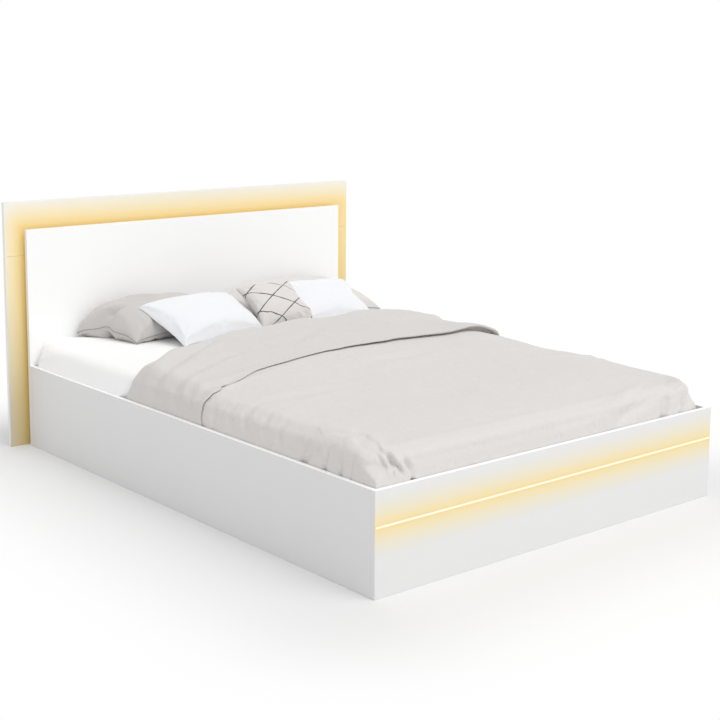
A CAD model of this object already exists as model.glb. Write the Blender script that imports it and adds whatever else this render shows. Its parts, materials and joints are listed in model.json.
"""Looks of a double bed, made up with its bedding, whose headboard and footboard are lit.

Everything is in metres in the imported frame: X across the bed, Y towards the headboard, Z up.
"""
import json
import logging
import math
from dataclasses import dataclass
from enum import Enum
from typing import Any, Sequence

import bmesh
import bpy
import numpy as np
from mathutils import Matrix, Vector
from mathutils.bvhtree import BVHTree


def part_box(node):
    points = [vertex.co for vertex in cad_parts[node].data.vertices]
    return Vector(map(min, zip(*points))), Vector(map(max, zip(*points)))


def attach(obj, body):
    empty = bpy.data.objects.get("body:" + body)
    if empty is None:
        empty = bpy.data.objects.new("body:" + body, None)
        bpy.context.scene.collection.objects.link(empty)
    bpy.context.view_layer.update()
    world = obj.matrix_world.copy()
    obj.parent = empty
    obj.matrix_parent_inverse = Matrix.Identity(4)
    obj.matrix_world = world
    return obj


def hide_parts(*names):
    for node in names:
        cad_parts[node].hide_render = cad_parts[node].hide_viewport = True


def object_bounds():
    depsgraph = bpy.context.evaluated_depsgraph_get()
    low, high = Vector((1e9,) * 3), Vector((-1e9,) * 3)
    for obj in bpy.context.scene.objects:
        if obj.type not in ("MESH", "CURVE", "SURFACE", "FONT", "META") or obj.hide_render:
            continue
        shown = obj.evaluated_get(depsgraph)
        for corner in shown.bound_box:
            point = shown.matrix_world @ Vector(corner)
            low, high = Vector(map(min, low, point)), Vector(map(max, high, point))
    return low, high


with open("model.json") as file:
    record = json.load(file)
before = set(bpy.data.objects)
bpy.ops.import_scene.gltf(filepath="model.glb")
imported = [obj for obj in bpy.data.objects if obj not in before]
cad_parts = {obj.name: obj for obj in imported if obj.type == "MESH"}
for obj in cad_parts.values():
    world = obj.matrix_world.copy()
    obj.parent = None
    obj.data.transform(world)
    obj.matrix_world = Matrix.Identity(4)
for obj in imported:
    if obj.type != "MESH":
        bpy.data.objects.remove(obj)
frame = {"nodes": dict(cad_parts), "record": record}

CAD_BOX = [list(corner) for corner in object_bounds()]
LOG = logging.getLogger("bed")
MM = 0.001
# The inner faces of the front panel, the right rail and the footboard
PANEL_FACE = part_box("headboard_front_panel")[0].y
RAIL_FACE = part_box("side_rail_right")[0].x
FOOT_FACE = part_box("footboard")[1].y
TINY = 1e-9
MAIN_BODY = "bed_frame"
# Height of the light line in the footboard
LINE_HEIGHT = 0.198
# Angles in degrees past which an edge looks sharp: on hard pieces, the lead, foam and cloth
HARD_EDGE, LEAD_EDGE, FOAM_EDGE, CLOTH_EDGE = 35, 40, 60, 70
# Number of cells after which a noise pattern repeats
NOISE_CELLS = 64

Array = np.ndarray
Node = bpy.types.Node
Pair = tuple[float, float]
Piece = bpy.types.Object
Socket = bpy.types.NodeSocket
Tree = bpy.types.NodeTree
Triple = tuple[float, float, float]

# What most node names of a tree start with
PREFIX = {"SHADER": "ShaderNode", "GEOMETRY": "GeometryNode"}
# A Mix node's two colour inputs and its colour output
MIX_A, MIX_B, MIX_OUT = 6, 7, 2


# Colours and shader nodes


def srgb(code: str) -> tuple[float, float, float, float]:
    """Turns an sRGB hex colour into the linear colour that Blender works in.

    Args:
        code: the colour as six hex digits.

    Returns:
        Linear red, green, blue and an alpha of 1.
    """
    parts = [int(code[i:i + 2], 16) / 255 for i in (0, 2, 4)]
    linear = [c / 12.92 if c <= 0.04045 else ((c + 0.055) / 1.055) ** 2.4 for c in parts]
    return (*linear, 1.0)


def set_inputs(tree: Tree, node: Node, inputs: dict[Any, Any]) -> None:
    """Gives a node's inputs their values or links.

    Args:
        tree: the tree that holds the node.
        node: the node.
        inputs: for each input its value, the socket that feeds it, or the node whose first
            output does.
    """
    for key, value in inputs.items():
        value = value.outputs[0] if isinstance(value, Node) else value
        if isinstance(value, Socket):
            tree.links.new(value, node.inputs[key])
        else:
            node.inputs[key].default_value = value


def add_node(tree: Tree, kind: str, inputs: dict[Any, Any] | None = None,
             stops: Sequence[tuple[float, str]] = (), **settings: Any) -> Node:
    """Adds a node with its settings, values and links.

    Args:
        tree: the node tree that gets the node.
        kind: the node's type name, without its tree's prefix.
        inputs: a value for each input, or the socket or node that feeds it.
        stops: the places and hex colours of a colour ramp.
        settings: the node's own properties.

    Returns:
        The new node.
    """
    whole = kind.startswith(("Node", "Function"))
    node = tree.nodes.new(kind if whole else PREFIX[tree.type] + kind)
    for name, value in settings.items():
        setattr(node, name, value)
    for number, (place, code) in enumerate(stops):
        # A new ramp has two stops already
        elements = node.color_ramp.elements
        element = elements[number] if number < 2 else elements.new(place)
        element.position, element.color = place, srgb(code)
    set_inputs(tree, node, inputs or {})
    return node


def beyond_box(tree: Tree, place: Socket, half: Sequence[float]) -> Node:
    """Returns how far a place lies outside a box round the origin, along each axis.

    Args:
        tree: the tree that gets the nodes.
        place: the place.
        half: the box's half sizes.

    Returns:
        The node that gives the distances, each 0 inside the box.
    """
    size = add_node(tree, "VectorMath", {0: place}, operation="ABSOLUTE")
    past = add_node(tree, "VectorMath", {0: size, 1: half}, operation="SUBTRACT")
    return add_node(tree, "VectorMath", {0: past, 1: (0.0, 0.0, 0.0)}, operation="MAXIMUM")


def clean_tree(owner: bpy.types.Material | bpy.types.World) -> Tree:
    """Gives a material or a world an empty node tree."""
    owner.use_nodes = True
    owner.node_tree.nodes.clear()
    return owner.node_tree


@dataclass(frozen=True)
class Paint:
    """A material in the making: its tree, its shader and its Object coordinates."""

    tree: Tree
    shader: Node
    place: Socket

    def add(self, kind: str, inputs: dict[Any, Any] | None = None, **settings: Any) -> Node:
        """Adds a node to the material's tree."""
        return add_node(self.tree, kind, inputs, **settings)

    def shade(self, inputs: dict[str, Any]) -> None:
        """Sets or feeds the shader's own inputs."""
        set_inputs(self.tree, self.shader, inputs)

    def height(self) -> Socket:
        """Returns the height over the floor."""
        return self.add("SeparateXYZ", {"Vector": self.place}).outputs["Z"]

    def off_height(self, middle: float, reach: float) -> Node:
        """Returns how far a place is over or under a height, as a share of a reach."""
        away = self.add("Math", {0: self.height(), 1: middle}, operation="SUBTRACT")
        size = self.add("Math", {0: away}, operation="ABSOLUTE")
        return self.add("Math", {0: size, 1: reach}, operation="DIVIDE", use_clamp=True)

    def drawn_out(self, along: int, squeeze: float) -> Node:
        """Returns the coordinates for a pattern that is drawn out along one axis."""
        scale = [1.0, 1.0, 1.0]
        scale[along] = squeeze
        return self.add("Mapping", {"Vector": self.place, "Scale": scale})


@dataclass(frozen=True)
class Finish:
    """A surface finish: its name, its slot in the record and its shader's plain values."""

    name: str
    slot: str
    color: str = "f5f5f5"
    roughness: float = 0.5
    metallic: float = 0.0
    ior: float = 1.5

    def material(self) -> bpy.types.Material:
        """Returns the finish's material, made on its first use."""
        found = bpy.data.materials.get(self.name)
        if found:
            return found
        made = bpy.data.materials.new(self.name)
        tree = clean_tree(made)
        shader = add_node(tree, "BsdfPrincipled", {
            "Base Color": srgb(self.color), "Roughness": self.roughness,
            "Metallic": self.metallic, "IOR": self.ior})
        add_node(tree, "OutputMaterial", {"Surface": shader})
        self.detail(Paint(tree, shader, add_node(tree, "TexCoord").outputs["Object"]))
        return made

    def detail(self, paint: Paint) -> None:
        """Adds the finish's own pattern to the shader.

        Args:
            paint: the material in the making.
        """


@dataclass(frozen=True)
class Melamine(Finish):
    """Melamine-faced board: satin white with a very fine moulded grain."""

    grain: float = 1.6 * MM
    grain_depth: float = 0.02 * MM
    cloud: float = 260 * MM

    def detail(self, paint: Paint) -> None:
        """The press plate leaves a faint orange peel, and the sheen varies a little."""
        fine, cloud = (paint.add("TexNoise", {"Vector": paint.place, "Scale": 1 / size})
                       for size in (self.grain, self.cloud))
        paint.shade({
            "Normal": paint.add("Bump", {"Height": fine, "Distance": self.grain_depth,
                                         "Strength": 0.5}),
            "Roughness": paint.add("MapRange", {
                "Value": cloud, "To Min": self.roughness - 0.05,
                "To Max": self.roughness + 0.06})})


@dataclass(frozen=True)
class LitMelamine(Melamine):
    """White board in the wash of a warm light, strongest where the light leaves its edge."""

    reach: float = 100 * MM
    edge_half: float = 0.0
    edge_top: float = 0.0
    middle_blend: float = 10 * MM
    stops: tuple[tuple[float, str], ...] = ()
    glow: float = 0.1
    shade_top: float = 0.75
    floor_shade: float = 0.66
    right_scale: float = 1.0

    def distance(self, paint: Paint) -> Node:
        """Measures how far a place is from the light's edge.

        Args:
            paint: the material in the making.

        Returns:
            The node that gives the distance, as a share of the light's reach.
        """
        past = beyond_box(paint.tree, paint.place, (self.edge_half, 0.0, self.edge_top))
        side = paint.add("SeparateXYZ", {"Vector": paint.place}).outputs["X"]
        scale = paint.add("MapRange", {
            "Value": side, "From Min": -self.middle_blend, "From Max": self.middle_blend,
            "To Min": 1.0, "To Max": self.right_scale})
        factors = paint.add("CombineXYZ", {"X": scale, "Y": 0.0, "Z": 1.0})
        scaled = paint.add("VectorMath", {0: past, 1: factors}, operation="MULTIPLY")
        length = paint.add("VectorMath", {0: scaled}, operation="LENGTH").outputs["Value"]
        return paint.add("Math", {0: length, 1: self.reach}, operation="DIVIDE",
                         use_clamp=True)

    def detail(self, paint: Paint) -> None:
        """The wash also glows a little by itself, as lit board does in a shaded room."""
        super().detail(paint)
        share = self.distance(paint)
        wash = paint.add("ValToRGB", {"Fac": share}, stops=self.stops)
        glow = paint.add("MapRange", {"Value": share, "To Min": self.glow, "To Max": 0.0},
                         interpolation_type="SMOOTHSTEP")
        rise = paint.add("MapRange", {
            "Value": paint.height(), "From Max": self.shade_top, "To Min": self.floor_shade,
            "To Max": 1.0}, interpolation_type="SMOOTHSTEP")
        shaded = paint.add("Mix", {"Factor": 1.0, MIX_A: wash, MIX_B: rise},
                           data_type="RGBA", blend_type="MULTIPLY")
        paint.shade({"Base Color": shaded.outputs[MIX_OUT], "Emission Strength": glow,
                     "Emission Color": srgb(self.stops[0][1])})


@dataclass(frozen=True)
class LineLitMelamine(LitMelamine):
    """White board with a warm wash above and below a lit line in its face."""

    line_height: float = LINE_HEIGHT

    def distance(self, paint: Paint) -> Node:
        """Returns the height over or under the line, as a share of the wash's reach."""
        return paint.off_height(self.line_height, self.reach)


@dataclass(frozen=True)
class Pine(Finish):
    """Planed softwood: pale, with darker late wood in long bands along the board."""

    ring: float = 9 * MM
    pores: float = 1.2 / MM
    dark: str = "c39a63"
    along: int = 0

    def detail(self, paint: Paint) -> None:
        """Growth rings run along the board, with fine pores across them."""
        grain = paint.drawn_out(self.along, 0.05)
        rings = paint.add("TexNoise", {"Vector": grain, "Scale": 0.25 / self.ring,
                                       "Detail": 3.0, "Distortion": 0.6})
        bands = paint.add("Math", {0: rings, 1: 9.0}, operation="MULTIPLY")
        saw = paint.add("Math", {0: bands}, operation="FRACT")
        pores = paint.add("TexNoise", {"Vector": grain, "Scale": self.pores})
        mixed = paint.add("Math", {0: saw, 1: pores}, operation="MULTIPLY")
        paint.shade({
            "Base Color": paint.add("ValToRGB", {"Fac": mixed},
                                    stops=((0.1, self.color), (0.75, self.dark))),
            "Normal": paint.add("Bump", {"Height": mixed, "Distance": 0.1 * MM,
                                         "Strength": 0.4})})


@dataclass(frozen=True)
class BrushedMetal(Finish):
    """Rolled or extruded metal: fine straight lines from the rolls or the die."""

    line: float = 0.8 * MM
    along: int = 0

    def detail(self, paint: Paint) -> None:
        """The lines vary the roughness, so highlights spread across them."""
        lines = paint.add("TexNoise", {"Vector": paint.drawn_out(self.along, 0.02),
                                       "Scale": 1 / self.line, "Detail": 3.0})
        paint.shade({
            "Roughness": paint.add("MapRange", {
                "Value": lines, "To Min": self.roughness - 0.1,
                "To Max": self.roughness + 0.15}),
            "Normal": paint.add("Bump", {"Height": lines, "Distance": 0.03 * MM,
                                         "Strength": 0.4})})


@dataclass(frozen=True)
class MouldedPlastic(Finish):
    """Injection-moulded plastic with the fine spark texture of its mould."""

    texture: float = 0.7 * MM

    def detail(self, paint: Paint) -> None:
        """A fine pitted texture breaks up the highlight."""
        fine = paint.add("TexNoise", {"Vector": paint.place, "Scale": 1 / self.texture})
        paint.shade({"Normal": paint.add("Bump", {"Height": fine, "Distance": 0.05 * MM,
                                                  "Strength": 0.5})})


@dataclass(frozen=True)
class LitPlastic(MouldedPlastic):
    """Opal or phosphor-coated plastic that glows evenly."""

    light: str = "fff1cf"
    glow: float = 1.0

    def detail(self, paint: Paint) -> None:
        """The plastic scatters its light, so that it reads as one even line."""
        super().detail(paint)
        paint.shade({"Emission Color": srgb(self.light), "Emission Strength": self.glow})


@dataclass(frozen=True)
class LightLine(LitPlastic):
    """Opal diffuser that is whitest along its middle and warm towards its edges."""

    middle: float = LINE_HEIGHT
    half: float = 3.5 * MM
    stops: tuple[tuple[float, str], ...] = ((0.0, "fffcf4"), (0.45, "fff6dd"),
                                            (1.0, "f3d488"))

    def detail(self, paint: Paint) -> None:
        """The light comes from a tape behind the middle, so it falls off to the edges."""
        super().detail(paint)
        share = paint.off_height(self.middle, self.half)
        paint.shade({"Emission Color": paint.add("ValToRGB", {"Fac": share},
                                                 stops=self.stops)})


@dataclass(frozen=True)
class Cotton(Finish):
    """Plain-woven cotton, washed soft: threads too fine to see singly, and small creases."""

    thread: float = 1.6 * MM
    thread_depth: float = 0.12 * MM
    crease: float = 38 * MM
    crease_depth: float = 2.4 * MM
    shade: float = 0.05
    fuzz: float = 0.25

    def detail(self, paint: Paint) -> None:
        """Weave, creases and a soft sheen. The thread is drawn coarser than the real one."""
        weave = paint.add("TexNoise", {"Vector": paint.place, "Scale": 1 / self.thread,
                                       "Detail": 3.0})
        crease = paint.add("TexNoise", {
            "Vector": paint.place, "Scale": 1 / self.crease, "Detail": 3.0,
            "Roughness": 0.55, "Distortion": 0.9})
        soft = paint.add("Bump", {"Height": crease, "Distance": self.crease_depth,
                                  "Strength": 0.55})
        cloth = paint.add("Bump", {"Height": weave, "Distance": self.thread_depth,
                                   "Strength": 0.5, "Normal": soft})
        paint.shade({"Normal": cloth, "Sheen Weight": self.fuzz, "Sheen Roughness": 0.5,
                     "Base Color": self.tone(paint, weave)})

    def tone(self, paint: Paint, weave: Node) -> Socket:
        """Darkens the cloth's colour a little between the threads.

        Args:
            paint: the material in the making.
            weave: the pattern of its threads.

        Returns:
            The socket that gives the colour.
        """
        dip = paint.add("MapRange", {"Value": weave, "From Min": 0.3, "From Max": 0.7,
                                     "To Min": 1 - self.shade, "To Max": 1.0})
        return paint.add("Mix", {"Factor": 1.0, MIX_A: srgb(self.color), MIX_B: dip},
                         data_type="RGBA", blend_type="MULTIPLY").outputs[MIX_OUT]


@dataclass(frozen=True)
class TwoSidedCotton(Cotton):
    """Cotton cover whose reverse, seen where it is folded back, is a little darker."""

    reverse: str = "d5d1ce"

    def tone(self, paint: Paint, weave: Node) -> Socket:
        """Returns the front's colour, or the reverse's where the mesh's attribute says so."""
        side = paint.add("Attribute", attribute_name="reverse").outputs["Fac"]
        return paint.add("Mix", {
            "Factor": side, MIX_A: super().tone(paint, weave), MIX_B: srgb(self.reverse)},
            data_type="RGBA").outputs[MIX_OUT]


@dataclass(frozen=True)
class LatticeCotton(Cotton):
    """Cotton printed with an open diamond lattice of thin dark lines."""

    ink: str = "3b3837"
    slope: float = 0.58
    spacing: float = 96 * MM
    line: float = 2.6 * MM
    wavers: float = 22.0
    starts: tuple[tuple[int, float], ...] = ((1, 0.12), (-1, -0.28))

    def tone(self, paint: Paint, weave: Node) -> Socket:
        """Returns the ground colour with the lattice drawn on the cushion's own plane."""
        plane = paint.add("UVMap", uv_map="plane")
        waver = paint.add("TexNoise", {"Vector": plane, "Scale": self.wavers, "Detail": 1.0})
        parts = paint.add("SeparateXYZ", {"Vector": plane}).outputs
        thick = self.line / self.spacing
        width = paint.add("MapRange", {"Value": waver, "From Min": 0.3, "From Max": 0.7,
                                       "To Min": 0.65 * thick, "To Max": 1.25 * thick})
        inked = []
        for way, start in self.starts:
            lean = paint.add("Math", {0: parts["X"], 1: way * self.slope, 2: parts["Y"]},
                             operation="MULTIPLY_ADD")
            count = paint.add("Math", {0: lean, 1: 1 / self.spacing, 2: start},
                              operation="MULTIPLY_ADD")
            near = paint.add("Math", {0: count, 1: 0.5}, operation="PINGPONG")
            inside = paint.add("Math", {0: width, 1: near}, operation="SUBTRACT")
            inked.append(paint.add("Math", {0: inside, 1: 180.0}, operation="MULTIPLY",
                                   use_clamp=True))
        either = paint.add("Math", {0: inked[0], 1: inked[1]}, operation="MAXIMUM")
        return paint.add("Mix", {
            "Factor": either, MIX_A: super().tone(paint, weave), MIX_B: srgb(self.ink)},
            data_type="RGBA").outputs[MIX_OUT]


@dataclass(frozen=True)
class Webbing(Finish):
    """Woven polypropylene tape with ribs across it."""

    rib: float = 3 * MM

    def detail(self, paint: Paint) -> None:
        """The ribs of the weave run across the strap."""
        ribs = paint.add("TexWave", {"Vector": paint.place,
                                     "Scale": 1 / (self.rib * 2 * math.pi)},
                         bands_direction="Y").outputs["Fac"]
        paint.shade({"Normal": paint.add("Bump", {"Height": ribs, "Distance": 0.4 * MM,
                                                  "Strength": 1.0})})


# The finishes of the bed

WHITE_BOARD = Melamine("white melamine board", "white_melamine", "fafafa", 0.42)
RAIL_BOARD = Melamine("white melamine rail board", "white_melamine", "e5e5e5", 0.42)
EDGE_BAND = Finish("white ABS edge band", "white_melamine", "ececec", 0.35)
RAIL_BAND = Finish("white ABS end band", "white_melamine", "e5e5e5", 0.4)
TOP_BAND = LitPlastic("white ABS top band", "white_melamine", "fafafa", 0.35,
                      light="ffffff", glow=0.06)
FRONT_BOARD = Melamine("white melamine headboard panel", "white_melamine", "fefefe", 0.42)
LIT_BACK_BOARD = LitMelamine(
    "white melamine board in the headboard light", "white_melamine", "f7f7f7", 0.42,
    edge_half=0.724, edge_top=0.8, glow=0.03, right_scale=0.35,
    stops=((0.0, "f3d68c"), (0.22, "f8dfa2"), (0.5, "f9e9c0"), (0.78, "f8f0d8"),
           (1.0, "f7f4ea")))
LIT_FOOT_BOARD = LineLitMelamine(
    "white melamine board with a light line", "white_melamine", "f7f7f7", 0.42,
    reach=92 * MM, glow=0.02, floor_shade=1.0,
    stops=((0.0, "f1d791"), (0.16, "f1dfae"), (0.5, "ebe3cd"), (0.85, "e6e5e0"),
           (1.0, "e6e6e6")))
SLAT_PINE = Pine("planed pine slat", "pine", "ecd3a5", 0.62, along=0)
BEAM_PINE = Pine("planed pine beam", "pine", "e6cb9a", 0.62, along=1)
POST_PINE = Pine("planed pine leg", "pine", "e6cb9a", 0.62, along=2)
ZINC_STEEL = BrushedMetal("zinc-plated steel", "zinc_steel", "c3c6c9", 0.34, 1.0)
ALUMINIUM = BrushedMetal("anodised aluminium", "aluminium", "d6d7d9", 0.36, 1.0)
OPAL = LightLine("opal polycarbonate", "opal_diffuser", "b8b4a8", 0.4, glow=0.55)
LED_TAPE = LitPlastic("led tape", "led_tape", "f3e2b4", 0.5, light="ffe9b8", glow=0.45)
LED_CHIP = LitPlastic("led phosphor", "led_tape", "ffe08a", 0.4, light="fff0c8", glow=1.8)
PALE_PLASTIC = MouldedPlastic("white ABS", "light_plastic", "ededeb", 0.45)
DARK_PLASTIC = MouldedPlastic("black polypropylene", "dark_plastic", "2b2b2d", 0.5)
STRAP = Webbing("grey webbing", "webbing", "8f9193", 0.9)
TICKING = Cotton("quilted ticking", "mattress_ticking", "f1f0ec", 0.9, crease=60 * MM,
                 crease_depth=4 * MM)
SHEET_COTTON = Cotton("white sheet cotton", "white_cotton", "fcfcfc", 0.85,
                      crease_depth=1.6 * MM, shade=0.02)
WHITE_COTTON = Cotton("white pillow cotton", "white_cotton", "eff0f3", 0.85,
                      crease_depth=3.0 * MM, shade=0.02)
GREIGE_COTTON = Cotton("greige pillow cotton", "greige_cotton", "ddd9d6", 0.85,
                       crease_depth=3.0 * MM)
SHADED_COTTON = Cotton("greige pillow cotton, washed darker", "greige_cotton", "c9c5c2",
                       0.85, crease_depth=3.0 * MM)
PIPING = Cotton("greige piping", "greige_cotton", "a29e9b", 0.85)
DUVET_COTTON = TwoSidedCotton("greige duvet cotton", "greige_cotton", "ddd9d6", 0.85,
                              crease=70 * MM, crease_depth=9 * MM)
LATTICE = LatticeCotton("lattice cushion cotton", "lattice_cotton", "dfdad7", 0.85)


# Meshes


def add_object(name: str, data: bpy.types.ID) -> Piece:
    """Makes an object of some data and puts it in the scene."""
    made = bpy.data.objects.new(name, data)
    bpy.context.collection.objects.link(made)
    return made


def mesh_object(name: str, points: Array | Sequence[Sequence[float]],
                faces: Sequence[Sequence[int]] = (), finish: Finish | None = None,
                edges: Sequence[tuple[int, int]] = ()) -> Piece:
    """Makes a mesh object whose place is in its mesh.

    Args:
        name: the piece's name.
        points: its corners, one row each.
        faces: the corner numbers of each face.
        finish: the finish of the whole piece.
        edges: the corner numbers of each loose edge.

    Returns:
        The new object.
    """
    mesh = bpy.data.meshes.new(name)
    mesh.from_pydata([tuple(p) for p in points], edges, [tuple(f) for f in faces])
    mesh.update()
    if finish:
        mesh.materials.append(finish.material())
    return add_object(name, mesh)


def solid_object(name: str, bm: bmesh.types.BMesh,
                 materials: Sequence[bpy.types.Material] = ()) -> Piece:
    """Makes a mesh object of what a bmesh holds, and frees it.

    Args:
        name: the piece's name.
        bm: the bmesh.
        materials: its materials, in the order of their numbers.

    Returns:
        The new object.
    """
    mesh = bpy.data.meshes.new(name)
    for material in materials:
        mesh.materials.append(material)
    bm.to_mesh(mesh)
    bm.free()
    return add_object(name, mesh)


def smooth_shade(piece: Piece, angle: float | None = None) -> Piece:
    """Shades a piece smoothly, apart from its sharp edges.

    Args:
        piece: the piece.
        angle: the angle in degrees past which an edge is sharp, if any is.

    Returns:
        The same piece.
    """
    mesh = piece.data
    mesh.polygons.foreach_set("use_smooth", [True] * len(mesh.polygons))
    if angle is not None:
        mesh.set_sharp_from_angle(angle=math.radians(angle))
    mesh.update()
    return piece


def grid_faces(index: Array, flip: bool = False) -> list[list[int]]:
    """Returns the quads of a grid of corner numbers, turned round where they are flipped."""
    quads = np.stack([index[:-1, :-1], index[:-1, 1:], index[1:, 1:], index[1:, :-1]], -1)
    return (quads[..., ::-1] if flip else quads).reshape(-1, 4).tolist()


def rim(index: Array) -> Array:
    """Returns the corner numbers round a grid, in order."""
    return np.concatenate([index[0, :-1], index[:-1, -1], index[-1, :0:-1], index[:0:-1, 0]])


def stacked_faces(rings: int, sides: int) -> list[list[int]]:
    """Returns the faces of closed rings of points, one over the other, with both ends shut."""
    index = np.arange(rings * sides).reshape(rings, sides)
    closed = np.concatenate([index, index[:, :1]], axis=1)
    return [*grid_faces(closed), index[0, ::-1].tolist(), index[-1].tolist()]


def noise(x: Array, y: Array, seed: int) -> Array:
    """Smooth noise from -1 to 1 on a plane.

    Args:
        x: places along the first way, in cells.
        y: places along the second way, in cells.
        seed: picks the pattern.

    Returns:
        The noise at each place.
    """
    size = NOISE_CELLS
    table = np.random.default_rng(seed).uniform(-1, 1, (size, size))
    cell_x, cell_y = np.floor(x).astype(int), np.floor(y).astype(int)
    part_x, part_y = x - cell_x, y - cell_y
    ease_x = part_x ** 3 * (part_x * (6 * part_x - 15) + 10)
    ease_y = part_y ** 3 * (part_y * (6 * part_y - 15) + 10)
    near, far = cell_x % size, (cell_x + 1) % size
    low, high = cell_y % size, (cell_y + 1) % size
    bottom = table[near, low] * (1 - ease_x) + table[far, low] * ease_x
    top = table[near, high] * (1 - ease_x) + table[far, high] * ease_x
    return bottom * (1 - ease_y) + top * ease_y


def ramp(value: Array | float, low: float, high: float) -> Array:
    """Eases from 0 at low to 1 at high."""
    share = np.clip((np.asarray(value, float) - low) / (high - low), 0, 1)
    return share * share * (3 - 2 * share)


def hill(value: Array, middle: float, width: float) -> Array:
    """Rises smoothly to 1 at the middle and falls away past the width."""
    return np.exp(-((value - middle) / width) ** 2)


def soft_limit(value: Array, limit: Array | float, ease: float = 4 * MM) -> Array:
    """Keeps values under a limit, which they near gently."""
    return limit - ease * np.logaddexp(0, (limit - value) / ease)


# How a solid is read: corners this near are one, or lie on a side of its box, faces within
# the first angle are one, and edges past the second are rounded, in degrees
MERGED, ON_SIDE, FLAT_ANGLE, CORNER_ANGLE = 2e-6, 1e-5, 0.5, 60
# The least part of a face's normal along an axis for it to face that way, or be square to it
FACING, SQUARE = 0.9, 0.999


def cad_copy(node: str, name: str, finish: Finish, rounding: float,
             trims: Sequence[Finish] = ()) -> Piece:
    """Copies a CAD node's solid, rounds its outer edges and puts it in the node's place.

    Args:
        node: the CAD node.
        name: the new piece's name.
        finish: its finish.
        rounding: how far in from each outer edge the rounding starts.
        trims: the finish of the top edge, of the rear face and of the other edges.

    Returns:
        The piece, riding and declared.
    """
    low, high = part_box(node)
    bm = bmesh.new()
    bm.from_mesh(frame["nodes"][node].data)
    bmesh.ops.remove_doubles(bm, verts=bm.verts, dist=MERGED)
    bmesh.ops.dissolve_limit(bm, angle_limit=math.radians(FLAT_ANGLE), verts=bm.verts,
                             edges=bm.edges)

    def on_box(vert: bmesh.types.BMVert) -> int:
        """Counts the sides of the node's box that a corner lies on."""
        return sum(min(abs(vert.co[k] - low[k]), abs(vert.co[k] - high[k])) < ON_SIDE
                   for k in range(3))

    outer = [edge for edge in bm.edges
             if len(edge.link_faces) == 2
             and edge.calc_face_angle(0) > math.radians(CORNER_ANGLE)
             and all(on_box(v) >= 2 for v in edge.verts)]
    bmesh.ops.bevel(bm, geom=outer, offset=rounding, segments=2, profile=0.5,
                    affect="EDGES", clamp_overlap=True)
    thin = min(range(3), key=lambda k: high[k] - low[k])
    for face in bm.faces:
        if trims and abs(face.normal[thin]) < FACING:
            face.material_index = 1 if face.normal.z > FACING else 3
        elif trims and face.normal[thin] > FACING:
            face.material_index = 2
    bmesh.ops.triangulate(bm, faces=[f for f in bm.faces if len(f.verts) > 4])
    made = solid_object(name, bm, [each.material() for each in (finish, *trims)])
    smooth_shade(made, HARD_EDGE)
    for face in made.data.polygons:
        face.use_smooth = max(abs(c) for c in face.normal) < SQUARE
    return declare(made, replaces=(node,), body=body_of(node))


def body_of(node: str) -> str:
    """Returns the name of the body that a CAD node belongs to."""
    bodies = frame["record"]["behaviour"]["bodies"]
    return next(name for name, nodes in bodies.items() if node in nodes)


def declare(piece: Piece, replaces: Sequence[str] = (),
            body: str = MAIN_BODY) -> Piece:
    """Rides a piece on its body, says which nodes it stands for, and reports it.

    Args:
        piece: the finished piece.
        replaces: the CAD nodes that it stands for.
        body: the body that it moves with.

    Returns:
        The same piece.
    """
    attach(piece, body)
    if replaces:
        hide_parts(*replaces)
    LOG.info("%s: %d faces on %s", piece.name, len(piece.data.polygons), body)
    return piece


def baked(piece: Piece, finish: Finish | None = None) -> Piece:
    """Applies a piece's modifiers by replacing its mesh with the evaluated one.

    Args:
        piece: the piece.
        finish: its finish, for a mesh that comes out without one.

    Returns:
        The same piece.
    """
    shown = piece.evaluated_get(bpy.context.evaluated_depsgraph_get())
    mesh = bpy.data.meshes.new_from_object(shown)
    piece.modifiers.clear()
    piece.data = mesh
    if finish and not mesh.materials:
        mesh.materials.append(finish.material())
    return piece


# Geometry Nodes for what repeats or follows a path


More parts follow.
